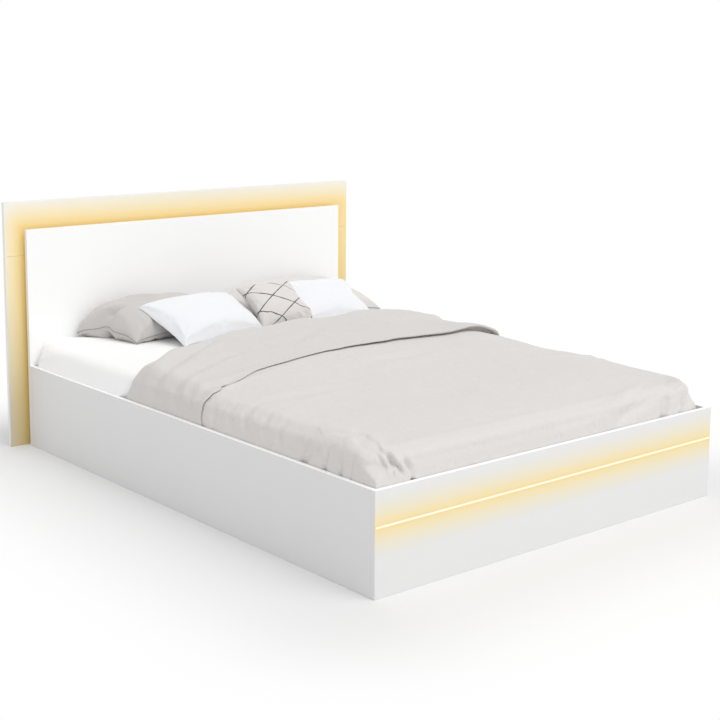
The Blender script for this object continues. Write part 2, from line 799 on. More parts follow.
class Kit(Enum):
    """The node trees that make repeated and swept pieces, each with its named inputs."""

    ROW = (("Piece", "Object"), ("Count", "Int"), ("Start", "Vector"), ("Step", "Vector"))
    POINTS = (("Piece", "Object"),)
    TUBE = (("Radius", "Float"), ("Sides", "Int"))

    def tree(self) -> Tree:
        """Returns the tree, built on its first use."""
        found = bpy.data.node_groups.get(self.name)
        if found:
            return found
        tree = bpy.data.node_groups.new(self.name, "GeometryNodeTree")
        face = tree.interface
        face.new_socket("Geometry", in_out="OUTPUT", socket_type="NodeSocketGeometry")
        for name, kind in (("Geometry", "Geometry"), ("Finish", "Material"), *self.value):
            face.new_socket(name, in_out="INPUT", socket_type=f"NodeSocket{kind}")
        given = add_node(tree, "NodeGroupInput").outputs
        real = add_node(tree, "RealizeInstances", {"Geometry": self.shape(tree, given)})
        dressed = add_node(tree, "SetMaterial", {"Geometry": real, "Material": given["Finish"]})
        add_node(tree, "NodeGroupOutput", {"Geometry": dressed})
        return tree

    def shape(self, tree: Tree, given: Any) -> Node:
        """Adds the nodes that make the shape from the given inputs.

        A tube sweeps a round section along the path. A row sets the piece out at equal
        steps. Points set it on each point, with its own Z along the point's way.

        Args:
            tree: the tree that gets the nodes.
            given: the sockets of the tree's inputs.

        Returns:
            The node whose first output is the shape.
        """
        if self is Kit.TUBE:
            path = add_node(tree, "MeshToCurve", {"Mesh": given["Geometry"]})
            ring = add_node(tree, "CurvePrimitiveCircle", {
                "Resolution": given["Sides"], "Radius": given["Radius"]})
            return add_node(tree, "CurveToMesh", {"Curve": path, "Profile Curve": ring,
                                                  "Fill Caps": True})
        piece = add_node(tree, "ObjectInfo", {"Object": given["Piece"]}).outputs["Geometry"]
        if self is Kit.ROW:
            line = add_node(tree, "MeshLine", {
                "Count": given["Count"], "Start Location": given["Start"],
                "Offset": given["Step"]}, mode="OFFSET")
            return add_node(tree, "InstanceOnPoints", {"Points": line, "Instance": piece})
        way = add_node(tree, "InputNamedAttribute", {"Name": "way"},
                       data_type="FLOAT_VECTOR").outputs["Attribute"]
        turn = add_node(tree, "FunctionNodeAlignRotationToVector", {"Vector": way}, axis="Z")
        return add_node(tree, "InstanceOnPoints", {
            "Points": given["Geometry"], "Instance": piece, "Rotation": turn})

    def run(self, name: str, finish: Finish, base: Piece | None = None,
            **sizes: Any) -> Piece:
        """Runs the tree on an object and keeps the plain mesh that comes out.

        Args:
            name: the new piece's name.
            finish: the finish of what is made.
            base: the object that carries the path or the points, if there is one.
            sizes: the tree's named inputs.

        Returns:
            The piece with a plain mesh.
        """
        base = base or mesh_object(name, ())
        base.name = name
        tree = self.tree()
        modifier = base.modifiers.new("kit", "NODES")
        modifier.node_group = tree
        values = {"Finish": finish.material(), **sizes}
        for item in tree.interface.items_tree:
            if item.in_out == "INPUT" and item.name in values:
                modifier[item.identifier] = values[item.name]
        return baked(base, finish)


def path_object(points: Array, closed: bool = False) -> Piece:
    """Makes a chain of edges through the points."""
    count = len(points)
    edges = [(i, i + 1) for i in range(count - 1)] + ([(count - 1, 0)] if closed else [])
    return mesh_object("path", points, edges=edges)


def points_object(points: Sequence[Vector], ways: Sequence[Vector]) -> Piece:
    """Makes loose points that each know their way out of the surface.

    Args:
        points: the places.
        ways: the way out at each place.

    Returns:
        The new object.
    """
    made = mesh_object("points", points)
    attribute = made.data.attributes.new("way", "FLOAT_VECTOR", "POINT")
    attribute.data.foreach_set("vector", [c for way in ways for c in way])
    return made


def rounded_box(size: Sequence[float], rounding: float, steps: int = 2) -> Piece:
    """Makes a box with rounded edges round the origin, to be repeated.

    Args:
        size: its size along each axis.
        rounding: how far in from each edge the rounding starts.
        steps: the number of faces in the rounding.

    Returns:
        The new object.
    """
    bm = bmesh.new()
    bmesh.ops.create_cube(bm, size=1.0, matrix=Matrix.Diagonal((*size, 1.0)))
    bmesh.ops.bevel(bm, geom=bm.edges[:], offset=rounding, segments=steps, profile=0.5,
                    affect="EDGES")
    return smooth_shade(solid_object("template", bm), HARD_EDGE)


def turned(name: str, profile: Sequence[Pair], sides: int) -> Piece:
    """Turns a profile round the Z axis into a closed solid.

    Args:
        name: the piece's name.
        profile: radius and height of each ring, from the bottom up.
        sides: the number of corners of each ring.

    Returns:
        The new object.
    """
    points = []
    for radius, height in profile:
        for k in range(sides):
            angle = 2 * math.pi * k / sides
            points.append((radius * math.cos(angle), radius * math.sin(angle), height))
    faces = stacked_faces(len(profile), sides)
    return smooth_shade(mesh_object(name, points, faces), HARD_EDGE)


def join(name: str, parts: Sequence[Piece]) -> Piece:
    """Joins plain mesh objects into one.

    Args:
        name: the new piece's name.
        parts: the objects, which are used up.

    Returns:
        The new piece.
    """
    bm = bmesh.new()
    for part in parts:
        bm.from_mesh(part.data)
    made = solid_object(name, bm, list(parts[0].data.materials))
    discard(*parts)
    return made


def discard(*objects: Piece) -> None:
    """Removes objects that only served to make others."""
    for obj in objects:
        bpy.data.objects.remove(obj, do_unlink=True)


# The hard pieces


@dataclass
class Boards:
    """The white boards: headboard panels, rails and footboard."""

    rounding: float = 1.0 * MM

    def build(self) -> None:
        """Builds each board from its solid, with its edge band."""
        for node, front in (("headboard_back_panel_lower", LIT_BACK_BOARD),
                            ("headboard_back_panel_upper", LIT_BACK_BOARD),
                            ("headboard_front_panel", FRONT_BOARD),
                            ("side_rail_left", RAIL_BOARD), ("side_rail_right", RAIL_BOARD),
                            ("footboard", LIT_FOOT_BOARD)):
            panel = node.startswith("headboard")
            trims = (EDGE_BAND, WHITE_BOARD, EDGE_BAND) if panel else (
                TOP_BAND, RAIL_BOARD, RAIL_BAND)
            cad_copy(node, f"{node}_board", front, self.rounding, trims)


@dataclass
class SlattedBase:
    """Battens, beam, legs, feet and slats under the mattress.

    The pad is the profile of a levelling foot's pad: radius and height in millimetres.
    """

    rounding: float = 1.2 * MM
    strap_rounding: float = 0.5 * MM
    slat_rounding: float = 4 * MM
    staple: Triple = (1.2 * MM, 12 * MM, 0.9 * MM)
    staple_places: Pair = (0.3, 0.7)
    staple_sunk: float = 0.2 * MM
    pad: tuple[Pair, ...] = (
        (17, 0), (19.2, 0.4), (20, 1.4), (20, 3.4), (19.4, 4), (9, 7.2), (8, 8))
    stem_start: float = 8.1 * MM
    thread_start: float = 9 * MM
    tip_radius: float = 3.2 * MM
    thread_turns: int = 42
    thread_pitch: float = 1.2 * MM
    thread_depth: float = 0.35 * MM
    stem_radius: float = 4 * MM

    def __post_init__(self) -> None:
        """Lists the slats' nodes from the foot to the head."""
        self.slat_nodes = sorted(node for node in frame["nodes"]
                                 if node.startswith(("slat_0", "slat_1")))

    def build(self) -> None:
        """Builds the base from the floor up."""
        for node in ("slat_batten_left", "slat_batten_right", "centre_beam"):
            cad_copy(node, f"{node}_timber", BEAM_PINE, self.rounding)
        for node in ("centre_leg_foot", "centre_leg_head"):
            cad_copy(node, f"{node}_post", POST_PINE, self.rounding)
        for side, pine in (("left", POST_PINE), ("right", POST_PINE), ("top", SLAT_PINE)):
            cad_copy(f"headboard_spacer_{side}", f"headboard_spacer_{side}_batten", pine,
                     self.rounding)
        for node in ("slat_webbing_left", "slat_webbing_right"):
            cad_copy(node, f"{node}_strap", STRAP, self.strap_rounding)
        self.slats()
        self.staples()
        self.feet()

    def slats(self) -> None:
        """Sets out the slats at the spacing of the solids."""
        first, second = (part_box(node) for node in self.slat_nodes[:2])
        template = rounded_box(first[1] - first[0], self.slat_rounding, 3)
        made = Kit.ROW.run("slats", SLAT_PINE, Piece=template, Count=len(self.slat_nodes),
                           Start=(first[0] + first[1]) / 2,
                           Step=(0.0, second[0].y - first[0].y, 0.0))
        discard(template)
        declare(smooth_shade(made, HARD_EDGE), replaces=self.slat_nodes)

    def staples(self) -> None:
        """Two staples hold each strap to each slat."""
        template = rounded_box(self.staple, 0.3 * MM, 1)
        points = []
        for strap in ("slat_webbing_left", "slat_webbing_right"):
            low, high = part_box(strap)
            for node in self.slat_nodes:
                slat_low, slat_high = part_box(node)
                for share in self.staple_places:
                    y = slat_low.y + (slat_high.y - slat_low.y) * share
                    points.append(Vector(((low.x + high.x) / 2, y,
                                          low.z - self.staple_sunk)))
        base = points_object(points, [Vector((0, 0, 1))] * len(points))
        made = Kit.POINTS.run("webbing_staples", ZINC_STEEL, base, Piece=template)
        discard(template)
        declare(made)

    def feet(self) -> None:
        """Turns each levelling foot, with its pad, hexagon and threaded stem."""
        profile = [(radius * MM, height * MM) for radius, height in self.pad]
        profile.append((self.stem_radius, self.stem_start))
        for k in range(self.thread_turns):
            z = self.thread_start + k * self.thread_pitch
            profile += [(self.stem_radius - self.thread_depth, z),
                        (self.stem_radius, z + self.thread_pitch / 2)]
        for node in ("levelling_foot_foot", "levelling_foot_head"):
            low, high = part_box(node)
            foot = turned(f"{node}_turned", [*profile, (self.tip_radius, high.z)], 24)
            foot.data.transform(Matrix.Translation((0, (low.y + high.y) / 2, low.z)))
            foot.data.materials.append(DARK_PLASTIC.material())
            declare(foot, replaces=(node,), body=body_of(node))


@dataclass
class Fittings:
    """Steel brackets, hangers and their screws.

    The tip and the head are profiles of a screw: radius and height in millimetres.
    """

    rounding: float = 0.5 * MM
    recess: float = 3.2 * MM
    recess_width: float = 1.1 * MM
    recess_depth: float = 4 * MM
    recess_middle: float = 3.6 * MM
    head_height: float = 3.5 * MM
    tip: tuple[Pair, ...] = ((0.4, -13), (1.6, -11))
    head: tuple[Pair, ...] = (
        (2.6, -0.2), (2.6, 0), (5.7, 0), (6, 0.4), (5.9, 2), (4.6, 3.1), (2.6, 3.5))
    core_radius: float = 2.2 * MM
    thread_radius: float = 3.0 * MM
    thread_start: float = -10.5 * MM
    thread_rise: float = 0.6 * MM
    thread_turns: int = 8
    thread_pitch: float = 1.25 * MM
    corners: tuple[str, ...] = ("foot_left", "foot_right", "head_left", "head_right")

    def build(self) -> None:
        """Builds brackets, hangers and screws."""
        for node in [f"corner_bracket_{corner}" for corner in self.corners] + [
                f"beam_hanger_{end}" for end in ("foot", "head")]:
            cad_copy(node, f"{node}_plate", ZINC_STEEL, self.rounding)
        self.screws()

    def screw(self) -> Piece:
        """Makes one pan-head screw with a cross recess, its head up and its seat at 0."""
        tip, head = ([(radius * MM, height * MM) for radius, height in end]
                     for end in (self.tip, self.head))
        thread = []
        for k in range(self.thread_turns):
            z = self.thread_start + k * self.thread_pitch
            thread += [(self.core_radius, z), (self.thread_radius, z + self.thread_rise)]
        body = turned("screw_template", tip + thread + head, 16)
        cutter = bmesh.new()
        long, wide, deep = 2 * self.recess, self.recess_width, self.recess_depth
        for size in ((long, wide, deep), (wide, long, deep)):
            bmesh.ops.create_cube(cutter, size=1.0, matrix=Matrix.Translation(
                (0, 0, self.recess_middle)) @ Matrix.Diagonal((*size, 1.0)))
        tool = solid_object("recess", cutter)
        cut = body.modifiers.new("recess", "BOOLEAN")
        cut.object = tool
        cut.operation = "DIFFERENCE"
        cut.use_self = True
        baked(body)
        discard(tool)
        return smooth_shade(body, HARD_EDGE)

    def screws(self) -> None:
        """Sets a screw in each leg of each bracket."""
        template = self.screw()
        points, ways, nodes = [], [], []
        for corner in self.corners:
            side = -1 if corner.endswith("left") else 1
            inward = 1 if corner.startswith("foot") else -1
            for end, way in (("end", Vector((0, inward, 0))), ("rail", Vector((-side, 0, 0)))):
                node = f"bracket_screw_{corner}_{end}"
                low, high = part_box(node)
                reach = (high - low).dot(Vector(abs(c) for c in way)) / 2
                points.append((low + high) / 2 + way * (reach - self.head_height))
                ways.append(way)
                nodes.append(node)
        made = Kit.POINTS.run("bracket_screws", ZINC_STEEL, points_object(points, ways),
                              Piece=template)
        discard(template)
        declare(made, replaces=nodes)


@dataclass
class Lights:
    """The light line in the footboard, the strip behind the headboard and their controller."""

    chip: Triple = (1.2 * MM, 2.8 * MM, 3.0 * MM)
    chip_pitch: float = 16.6 * MM
    chip_sunk: float = 0.4 * MM
    chip_margin: float = 30 * MM
    right_start: float = 165 * MM
    lead_radius: float = 2 * MM
    lead_height: float = 144.7 * MM
    lead_bend: float = 7.5 * MM
    bend_points: int = 9
    in_case: float = 6 * MM
    past_case: float = 30 * MM
    off_panel: float = 12.3 * MM
    off_rail: float = 2.3 * MM
    off_foot: float = 10 * MM
    in_foot: float = 8.1 * MM
    clip: Triple = (6.4 * MM, 5 * MM, 5.2 * MM)
    clip_pitch: float = 0.3
    first_clip: float = 0.2

    def build(self) -> None:
        """Builds the lit pieces, the controller and the lead."""
        for node, name, finish, rounding in (
                ("footboard_led_diffuser", "footboard_light_line", OPAL, 0.2 * MM),
                ("footboard_led_channel", "footboard_light_channel", ALUMINIUM, 0.15 * MM),
                ("footboard_led_strip", "footboard_light_strip", LED_TAPE, 0.1 * MM),
                ("headboard_led_strip", "headboard_light_strip", LED_TAPE, 0.2 * MM),
                ("led_controller_case", "light_controller_case", PALE_PLASTIC, 0.6 * MM),
                ("led_power_button", "light_power_button", PALE_PLASTIC, 0.4 * MM),
                ("led_power_inlet", "light_power_inlet", DARK_PLASTIC, 0.4 * MM)):
            cad_copy(node, name, finish, rounding)
        self.chips()
        self.lead()

    def chips(self) -> None:
        """Light chips stand along the strip behind the front panel."""
        low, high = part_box("headboard_led_strip")
        middle = (low.y + high.y) / 2
        upright = rounded_box(self.chip, 0.3 * MM, 1)
        flat = rounded_box(self.chip[::-1], 0.3 * MM, 1)
        margin, sunk, pitch = self.chip_margin, self.chip_sunk, self.chip_pitch
        parts = []
        for template, length, start, step in (
                (upright, high.z - low.z,
                 (low.x - sunk, middle, low.z + margin / 2), (0.0, 0.0, pitch)),
                (upright, high.z - self.right_start,
                 (high.x + sunk, middle, self.right_start + margin / 2), (0.0, 0.0, pitch)),
                (flat, high.x - low.x,
                 (low.x + margin / 2, middle, high.z + sunk), (pitch, 0.0, 0.0))):
            parts.append(Kit.ROW.run("chips", LED_CHIP, Piece=template, Start=start,
                                     Step=step, Count=int((length - margin) / pitch)))
        joined = join("headboard_light_chips", parts)
        discard(upright, flat)
        declare(joined)

    def route(self) -> Array:
        """Returns the lead's path: through the panel, along the rail and into the footboard."""
        gap = (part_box("headboard_front_panel")[1].y
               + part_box("headboard_back_panel_lower")[0].y) / 2
        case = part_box("led_controller_case")[0].x
        out = case - self.past_case
        side = RAIL_FACE - self.off_rail
        turn = PANEL_FACE - self.off_panel
        down = FOOT_FACE + self.off_foot
        low = self.lead_height
        stops = [(case + self.in_case, gap, low), (out, gap, low), (out, turn, low),
                 (side, turn, low), (side, down, low), (side, down, LINE_HEIGHT),
                 (side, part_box("footboard")[0].y + self.in_foot, LINE_HEIGHT)]
        corners = [np.array(s) for s in stops]
        points = [corners[0]]
        for before, here, after in zip(corners, corners[1:], corners[2:]):
            start = here + (before - here) / np.linalg.norm(before - here) * self.lead_bend
            end = here + (after - here) / np.linalg.norm(after - here) * self.lead_bend
            for share in np.linspace(0, 1, self.bend_points):
                points.append(start * (1 - share) ** 2 + 2 * here * share * (1 - share)
                              + end * share ** 2)
        points.append(corners[-1])
        return np.array(points)

    def lead(self) -> None:
        """Sweeps the lead and holds it to the rail with clips."""
        made = Kit.TUBE.run("footboard_light_lead_sheath", PALE_PLASTIC,
                            path_object(self.route()), Radius=self.lead_radius, Sides=12)
        declare(smooth_shade(made, LEAD_EDGE), replaces=("footboard_light_lead",))
        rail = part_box("side_rail_right")
        template = rounded_box(self.clip, 1.4 * MM, 3)
        clips = Kit.ROW.run(
            "lead_clips", PALE_PLASTIC, Piece=template,
            Count=int((rail[1].y - rail[0].y) / self.clip_pitch),
            Start=(rail[0].x - self.clip[0] / 2, rail[0].y + self.first_clip,
                   self.lead_height),
            Step=(0.0, self.clip_pitch, 0.0))
        discard(template)
        declare(smooth_shade(clips, LEAD_EDGE))


# The soft pieces over the mattress


@dataclass
class Drape:
    """How a layer lies over the mattress: flat top, rounded edge and upright sides."""

    corner: float = 60 * MM
    head_corner: float = 60 * MM
    edge: float = 30 * MM

    def __post_init__(self) -> None:
        """Reads the mattress's size from its solid."""
        low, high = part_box("mattress")
        self.half = high.x - self.edge
        self.foot = low.y + self.edge
        self.head = high.y - self.edge
        self.top = high.z
        self.base = low.z
        self.arc = self.edge * math.pi / 2

    def drop(self, hem: float) -> float:
        """Returns the length of cloth from the start of the edge down to a hem's height."""
        return self.arc + self.top - self.edge - hem

    def lay(self, x: Array, along: Array, lift: Array, down_limit: float,
            head_too: bool = False) -> tuple[Array, Array, Array]:
        """Lays a flat layer over the mattress.

        Args:
            x: distance across from the middle, along the cloth.
            along: distance along the bed, along the cloth.
            lift: height of the skin over the mattress.
            down_limit: the lowest height that the layer reaches.
            head_too: whether it also goes over the head end.

        Returns:
            The points, how far each is down the side from 0 to 1, and how much each
            faces out rather than up.
        """
        corner = self.corner + (self.head_corner - self.corner) * ramp(along, -0.1, 0.1)
        across = np.maximum(np.abs(x) - self.half + corner, 0)
        past_foot = np.maximum(self.foot + corner - along, 0)
        past_head = np.maximum(along - self.head + corner, 0) if head_too else 0 * along
        past = past_foot + past_head
        middle_x = x - np.sign(x) * across
        middle_y = along + past_foot - past_head
        out_x = np.sign(x) * across
        out_y = past_head - past_foot
        length = np.maximum(np.hypot(out_x, out_y), TINY)
        out_x, out_y = out_x / length, out_y / length
        run = np.maximum(across, past)
        over = np.maximum(run - corner, 0)
        turn = np.minimum(over / self.edge, math.pi / 2)
        down = np.maximum(over - self.arc, 0)
        radius = self.edge + lift
        reach = np.minimum(run, corner) + radius * np.sin(turn)
        height = self.top - self.edge + radius * np.cos(turn) - down
        points = np.stack([middle_x + out_x * reach, middle_y + out_y * reach, height], -1)
        drop = self.top - self.edge - down_limit
        return points, np.clip(down / drop, 0, 1), np.sin(turn)


@dataclass
class Mattress:
    """Foam mattress with rounded edges, a tape on each edge and plain ticking."""

    drape: Drape
    tape_radius: float = 1.25 * MM
    tape_out: float = 0.75 * MM
    steps: int = 8

    def loop(self, inset: float, height: float) -> Array:
        """Draws the mattress's outline.

        Args:
            inset: how far it is drawn in.
            height: the height that it lies at.

        Returns:
            The outline's points, one row each.
        """
        low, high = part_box("mattress")
        corner = self.drape.corner + self.drape.edge
        radius = corner - inset
        points = []
        for quarter, (sx, sy) in enumerate(((1, 1), (-1, 1), (-1, -1), (1, -1))):
            middle = ((low.x + high.x) / 2 + sx * ((high.x - low.x) / 2 - corner),
                      (low.y + high.y) / 2 + sy * ((high.y - low.y) / 2 - corner))
            for share in np.linspace(0, 1, self.steps + 1):
                angle = math.pi / 2 * (quarter + share)
                points.append((middle[0] + radius * math.cos(angle),
                               middle[1] + radius * math.sin(angle), height))
        return np.array(points)

    def build(self) -> None:
        """Builds the mattress in its solid's place, then its edge tapes."""
        d = self.drape
        turns = np.linspace(0, math.pi / 2, self.steps + 1)
        profile = [(d.edge * (1 - math.sin(t)), d.base + d.edge * (1 - math.cos(t)))
                   for t in turns]
        profile += [(d.edge * (1 - math.cos(t)), d.top - d.edge * (1 - math.sin(t)))
                    for t in turns]
        loops = [self.loop(inset, height) for inset, height in profile]
        foam = mesh_object("mattress_foam", np.concatenate(loops),
                           stacked_faces(len(loops), len(loops[0])), TICKING)
        smooth_shade(foam, FOAM_EDGE)
        declare(foam, replaces=("mattress",))
        for name, height in (("lower", d.base + d.edge), ("upper", d.top - d.edge)):
            tape = Kit.TUBE.run(f"mattress_tape_{name}", TICKING,
                                path_object(self.loop(self.tape_out, height), True),
                                Radius=self.tape_radius, Sides=8)
            declare(smooth_shade(tape))


@dataclass(frozen=True)
class Crease:
    """A valley in cloth, deep at its start and running out at its end, or at both ends.

    Its ends are places on the flat cloth in metres, its depth and width are in millimetres.
    """

    start: Pair
    end: Pair
    depth: float
    width: float
    ridge: float = 0.35
    both: bool = False

    def height(self, x: Array, y: Array) -> Array:
        """Returns the height that the valley and its two ridges add.

        Args:
            x: place across the flat cloth.
            y: place along the flat cloth.

        Returns:
            The height, below zero in the valley.
        """
        ax, ay = self.start
        dx, dy = self.end[0] - ax, self.end[1] - ay
        length = math.hypot(dx, dy)
        share = ((x - ax) * dx + (y - ay) * dy) / length ** 2
        across = ((x - ax) * dy - (y - ay) * dx) / length
        if self.both:
            fade = np.sin(np.clip(share, 0, 1) * math.pi) ** 0.8
        else:
            fade = ramp(1 - share, 0, 0.75)
        spread = self.width * MM * (1.25 - 0.5 * np.clip(share, 0, 1))
        valley = hill(across, 0, spread)
        ridges = hill(np.abs(across), 1.9 * spread, spread)
        return self.depth * MM * fade * (self.ridge * ridges - valley)


def layer(name: str, outer: Array, inner: Array, finish: Finish,
          reverse: Array | None = None) -> Piece:
    """Closes two grids of points into one soft layer.

    Args:
        name: the piece's name.
        outer: the outer skin's points, in rows.
        inner: the inner skin's points, in the same rows.
        finish: the finish of the layer.
        reverse: 1 where the outer skin is the cloth's reverse, for a two-sided finish.

    Returns:
        The new object.
    """
    index = np.arange(outer[..., 0].size).reshape(outer.shape[:2])
    count = index.size
    faces = grid_faces(index) + grid_faces(index + count, flip=True)
    edge = rim(index).tolist()
    for a, b in zip(edge, edge[1:] + edge[:1]):
        faces.append([b, a, a + count, b + count])
    points = np.concatenate([outer.reshape(-1, 3), inner.reshape(-1, 3)])
    made = mesh_object(name, points, faces, finish)
    if reverse is not None:
        sides = np.concatenate([reverse.ravel(), np.ones(count)])
        made.data.attributes.new("reverse", "FLOAT", "POINT").data.foreach_set("value", sides)
    return smooth_shade(made, CLOTH_EDGE)


@dataclass
class FittedSheet:
    """White sheet pulled over the mattress, with pull creases at its head corners."""

    drape: Drape
    duvet: "Duvet"
    columns: int = 180
    rows: int = 150
    gap: float = 0.6 * MM
    panel_gap: float = 0.4 * MM
    thickness: float = 1.0 * MM
    hem: float = 0.2265
    billow: float = 20 * MM
    slack: float = 1.6 * MM
    pull: float = 9 * MM
    pull_reach: float = 160 * MM
    pucker: float = 5 * MM
    pucker_reach: float = 300 * MM

    def creases(self, x: Array, along: Array, out: Array) -> Array:
        """Returns the height of the sheet's looseness and creases.

        Args:
            x: place across the flat cloth.
            along: place along the flat cloth.
            out: how much the cloth faces out rather than up.

        Returns:
            The height, which is greatest at the head corners.
        """
        d = self.drape
        head = ramp(along, 0.35, 0.8)
        away = np.hypot(np.abs(x) - d.half, along - d.head)
        angle = np.arctan2(along - d.head - 0.1, np.abs(x) - d.half - 0.1)
        pulls = np.maximum(np.sin(angle * 18 + 3 * noise(x * 4, along * 4, 5)), 0) ** 2
        soft = noise(x * 6 + along * 3, along * 8, 3) * 0.5 + 0.5
        over = np.maximum(np.abs(x) - d.half, along - d.head)
        line = self.duvet.fold_line(x)
        loose = ramp(over, 0.012, 0.11) * ramp(along, line, line + 0.06)
        puckers = self.pucker * noise(along * 26, x * 9, 8) * np.exp(
            -away / self.pucker_reach)
        pulled = self.pull * pulls * np.exp(-away / self.pull_reach)
        return ((self.slack * soft * head + pulled) * (1 - 0.4 * out)
                + (self.billow + puckers) * loose)

    def build(self) -> Piece:
        """Builds the sheet as a thin closed layer."""
        d = self.drape
        drop = d.drop(self.hem)
        sides = np.concatenate([np.linspace(-drop, 0, 26)[:-1] - d.half,
                                np.linspace(-d.half, d.half, self.columns),
                                d.half + np.linspace(0, drop, 26)[1:]])
        lengths = np.concatenate([d.foot - np.linspace(drop, 0, 22)[:-1],
                                  np.linspace(d.foot, d.head, self.rows),
                                  d.head + np.linspace(0, drop, 26)[1:]])
        x, along = np.meshgrid(sides, lengths)
        _, _, out = d.lay(x, along, np.zeros_like(x), self.hem, head_too=True)
        rise = self.creases(x, along, out)
        outer, _, _ = d.lay(x, along, self.gap + self.thickness + rise, self.hem, True)
        inner, _, _ = d.lay(x, along, self.gap + 0.8 * rise, self.hem, True)
        panel = PANEL_FACE - self.panel_gap
        outer[..., 1] = np.minimum(outer[..., 1], panel)
        inner[..., 1] = np.minimum(inner[..., 1], panel - self.thickness)
        made = layer("fitted_sheet_cotton", outer, inner, SHEET_COTTON)
        return declare(made, replaces=("fitted_sheet",))


class Part(Enum):
    """The parts of the duvet's outer skin, in rows from its foot to its head."""

    FOOT = 0
    BODY = 1
    NOSE = 2
    FLAP = 3
    FOLD = 4


@dataclass
class Cloth:
    """The duvet's grid, laid flat: where each point lies and how far its part has come."""

    x: Array
    along: Array
    inner_along: Array
    flap_at: Array
    picks: list[Array]
    first: Array
    opened: Array
    thickness: Array
    bend: Array


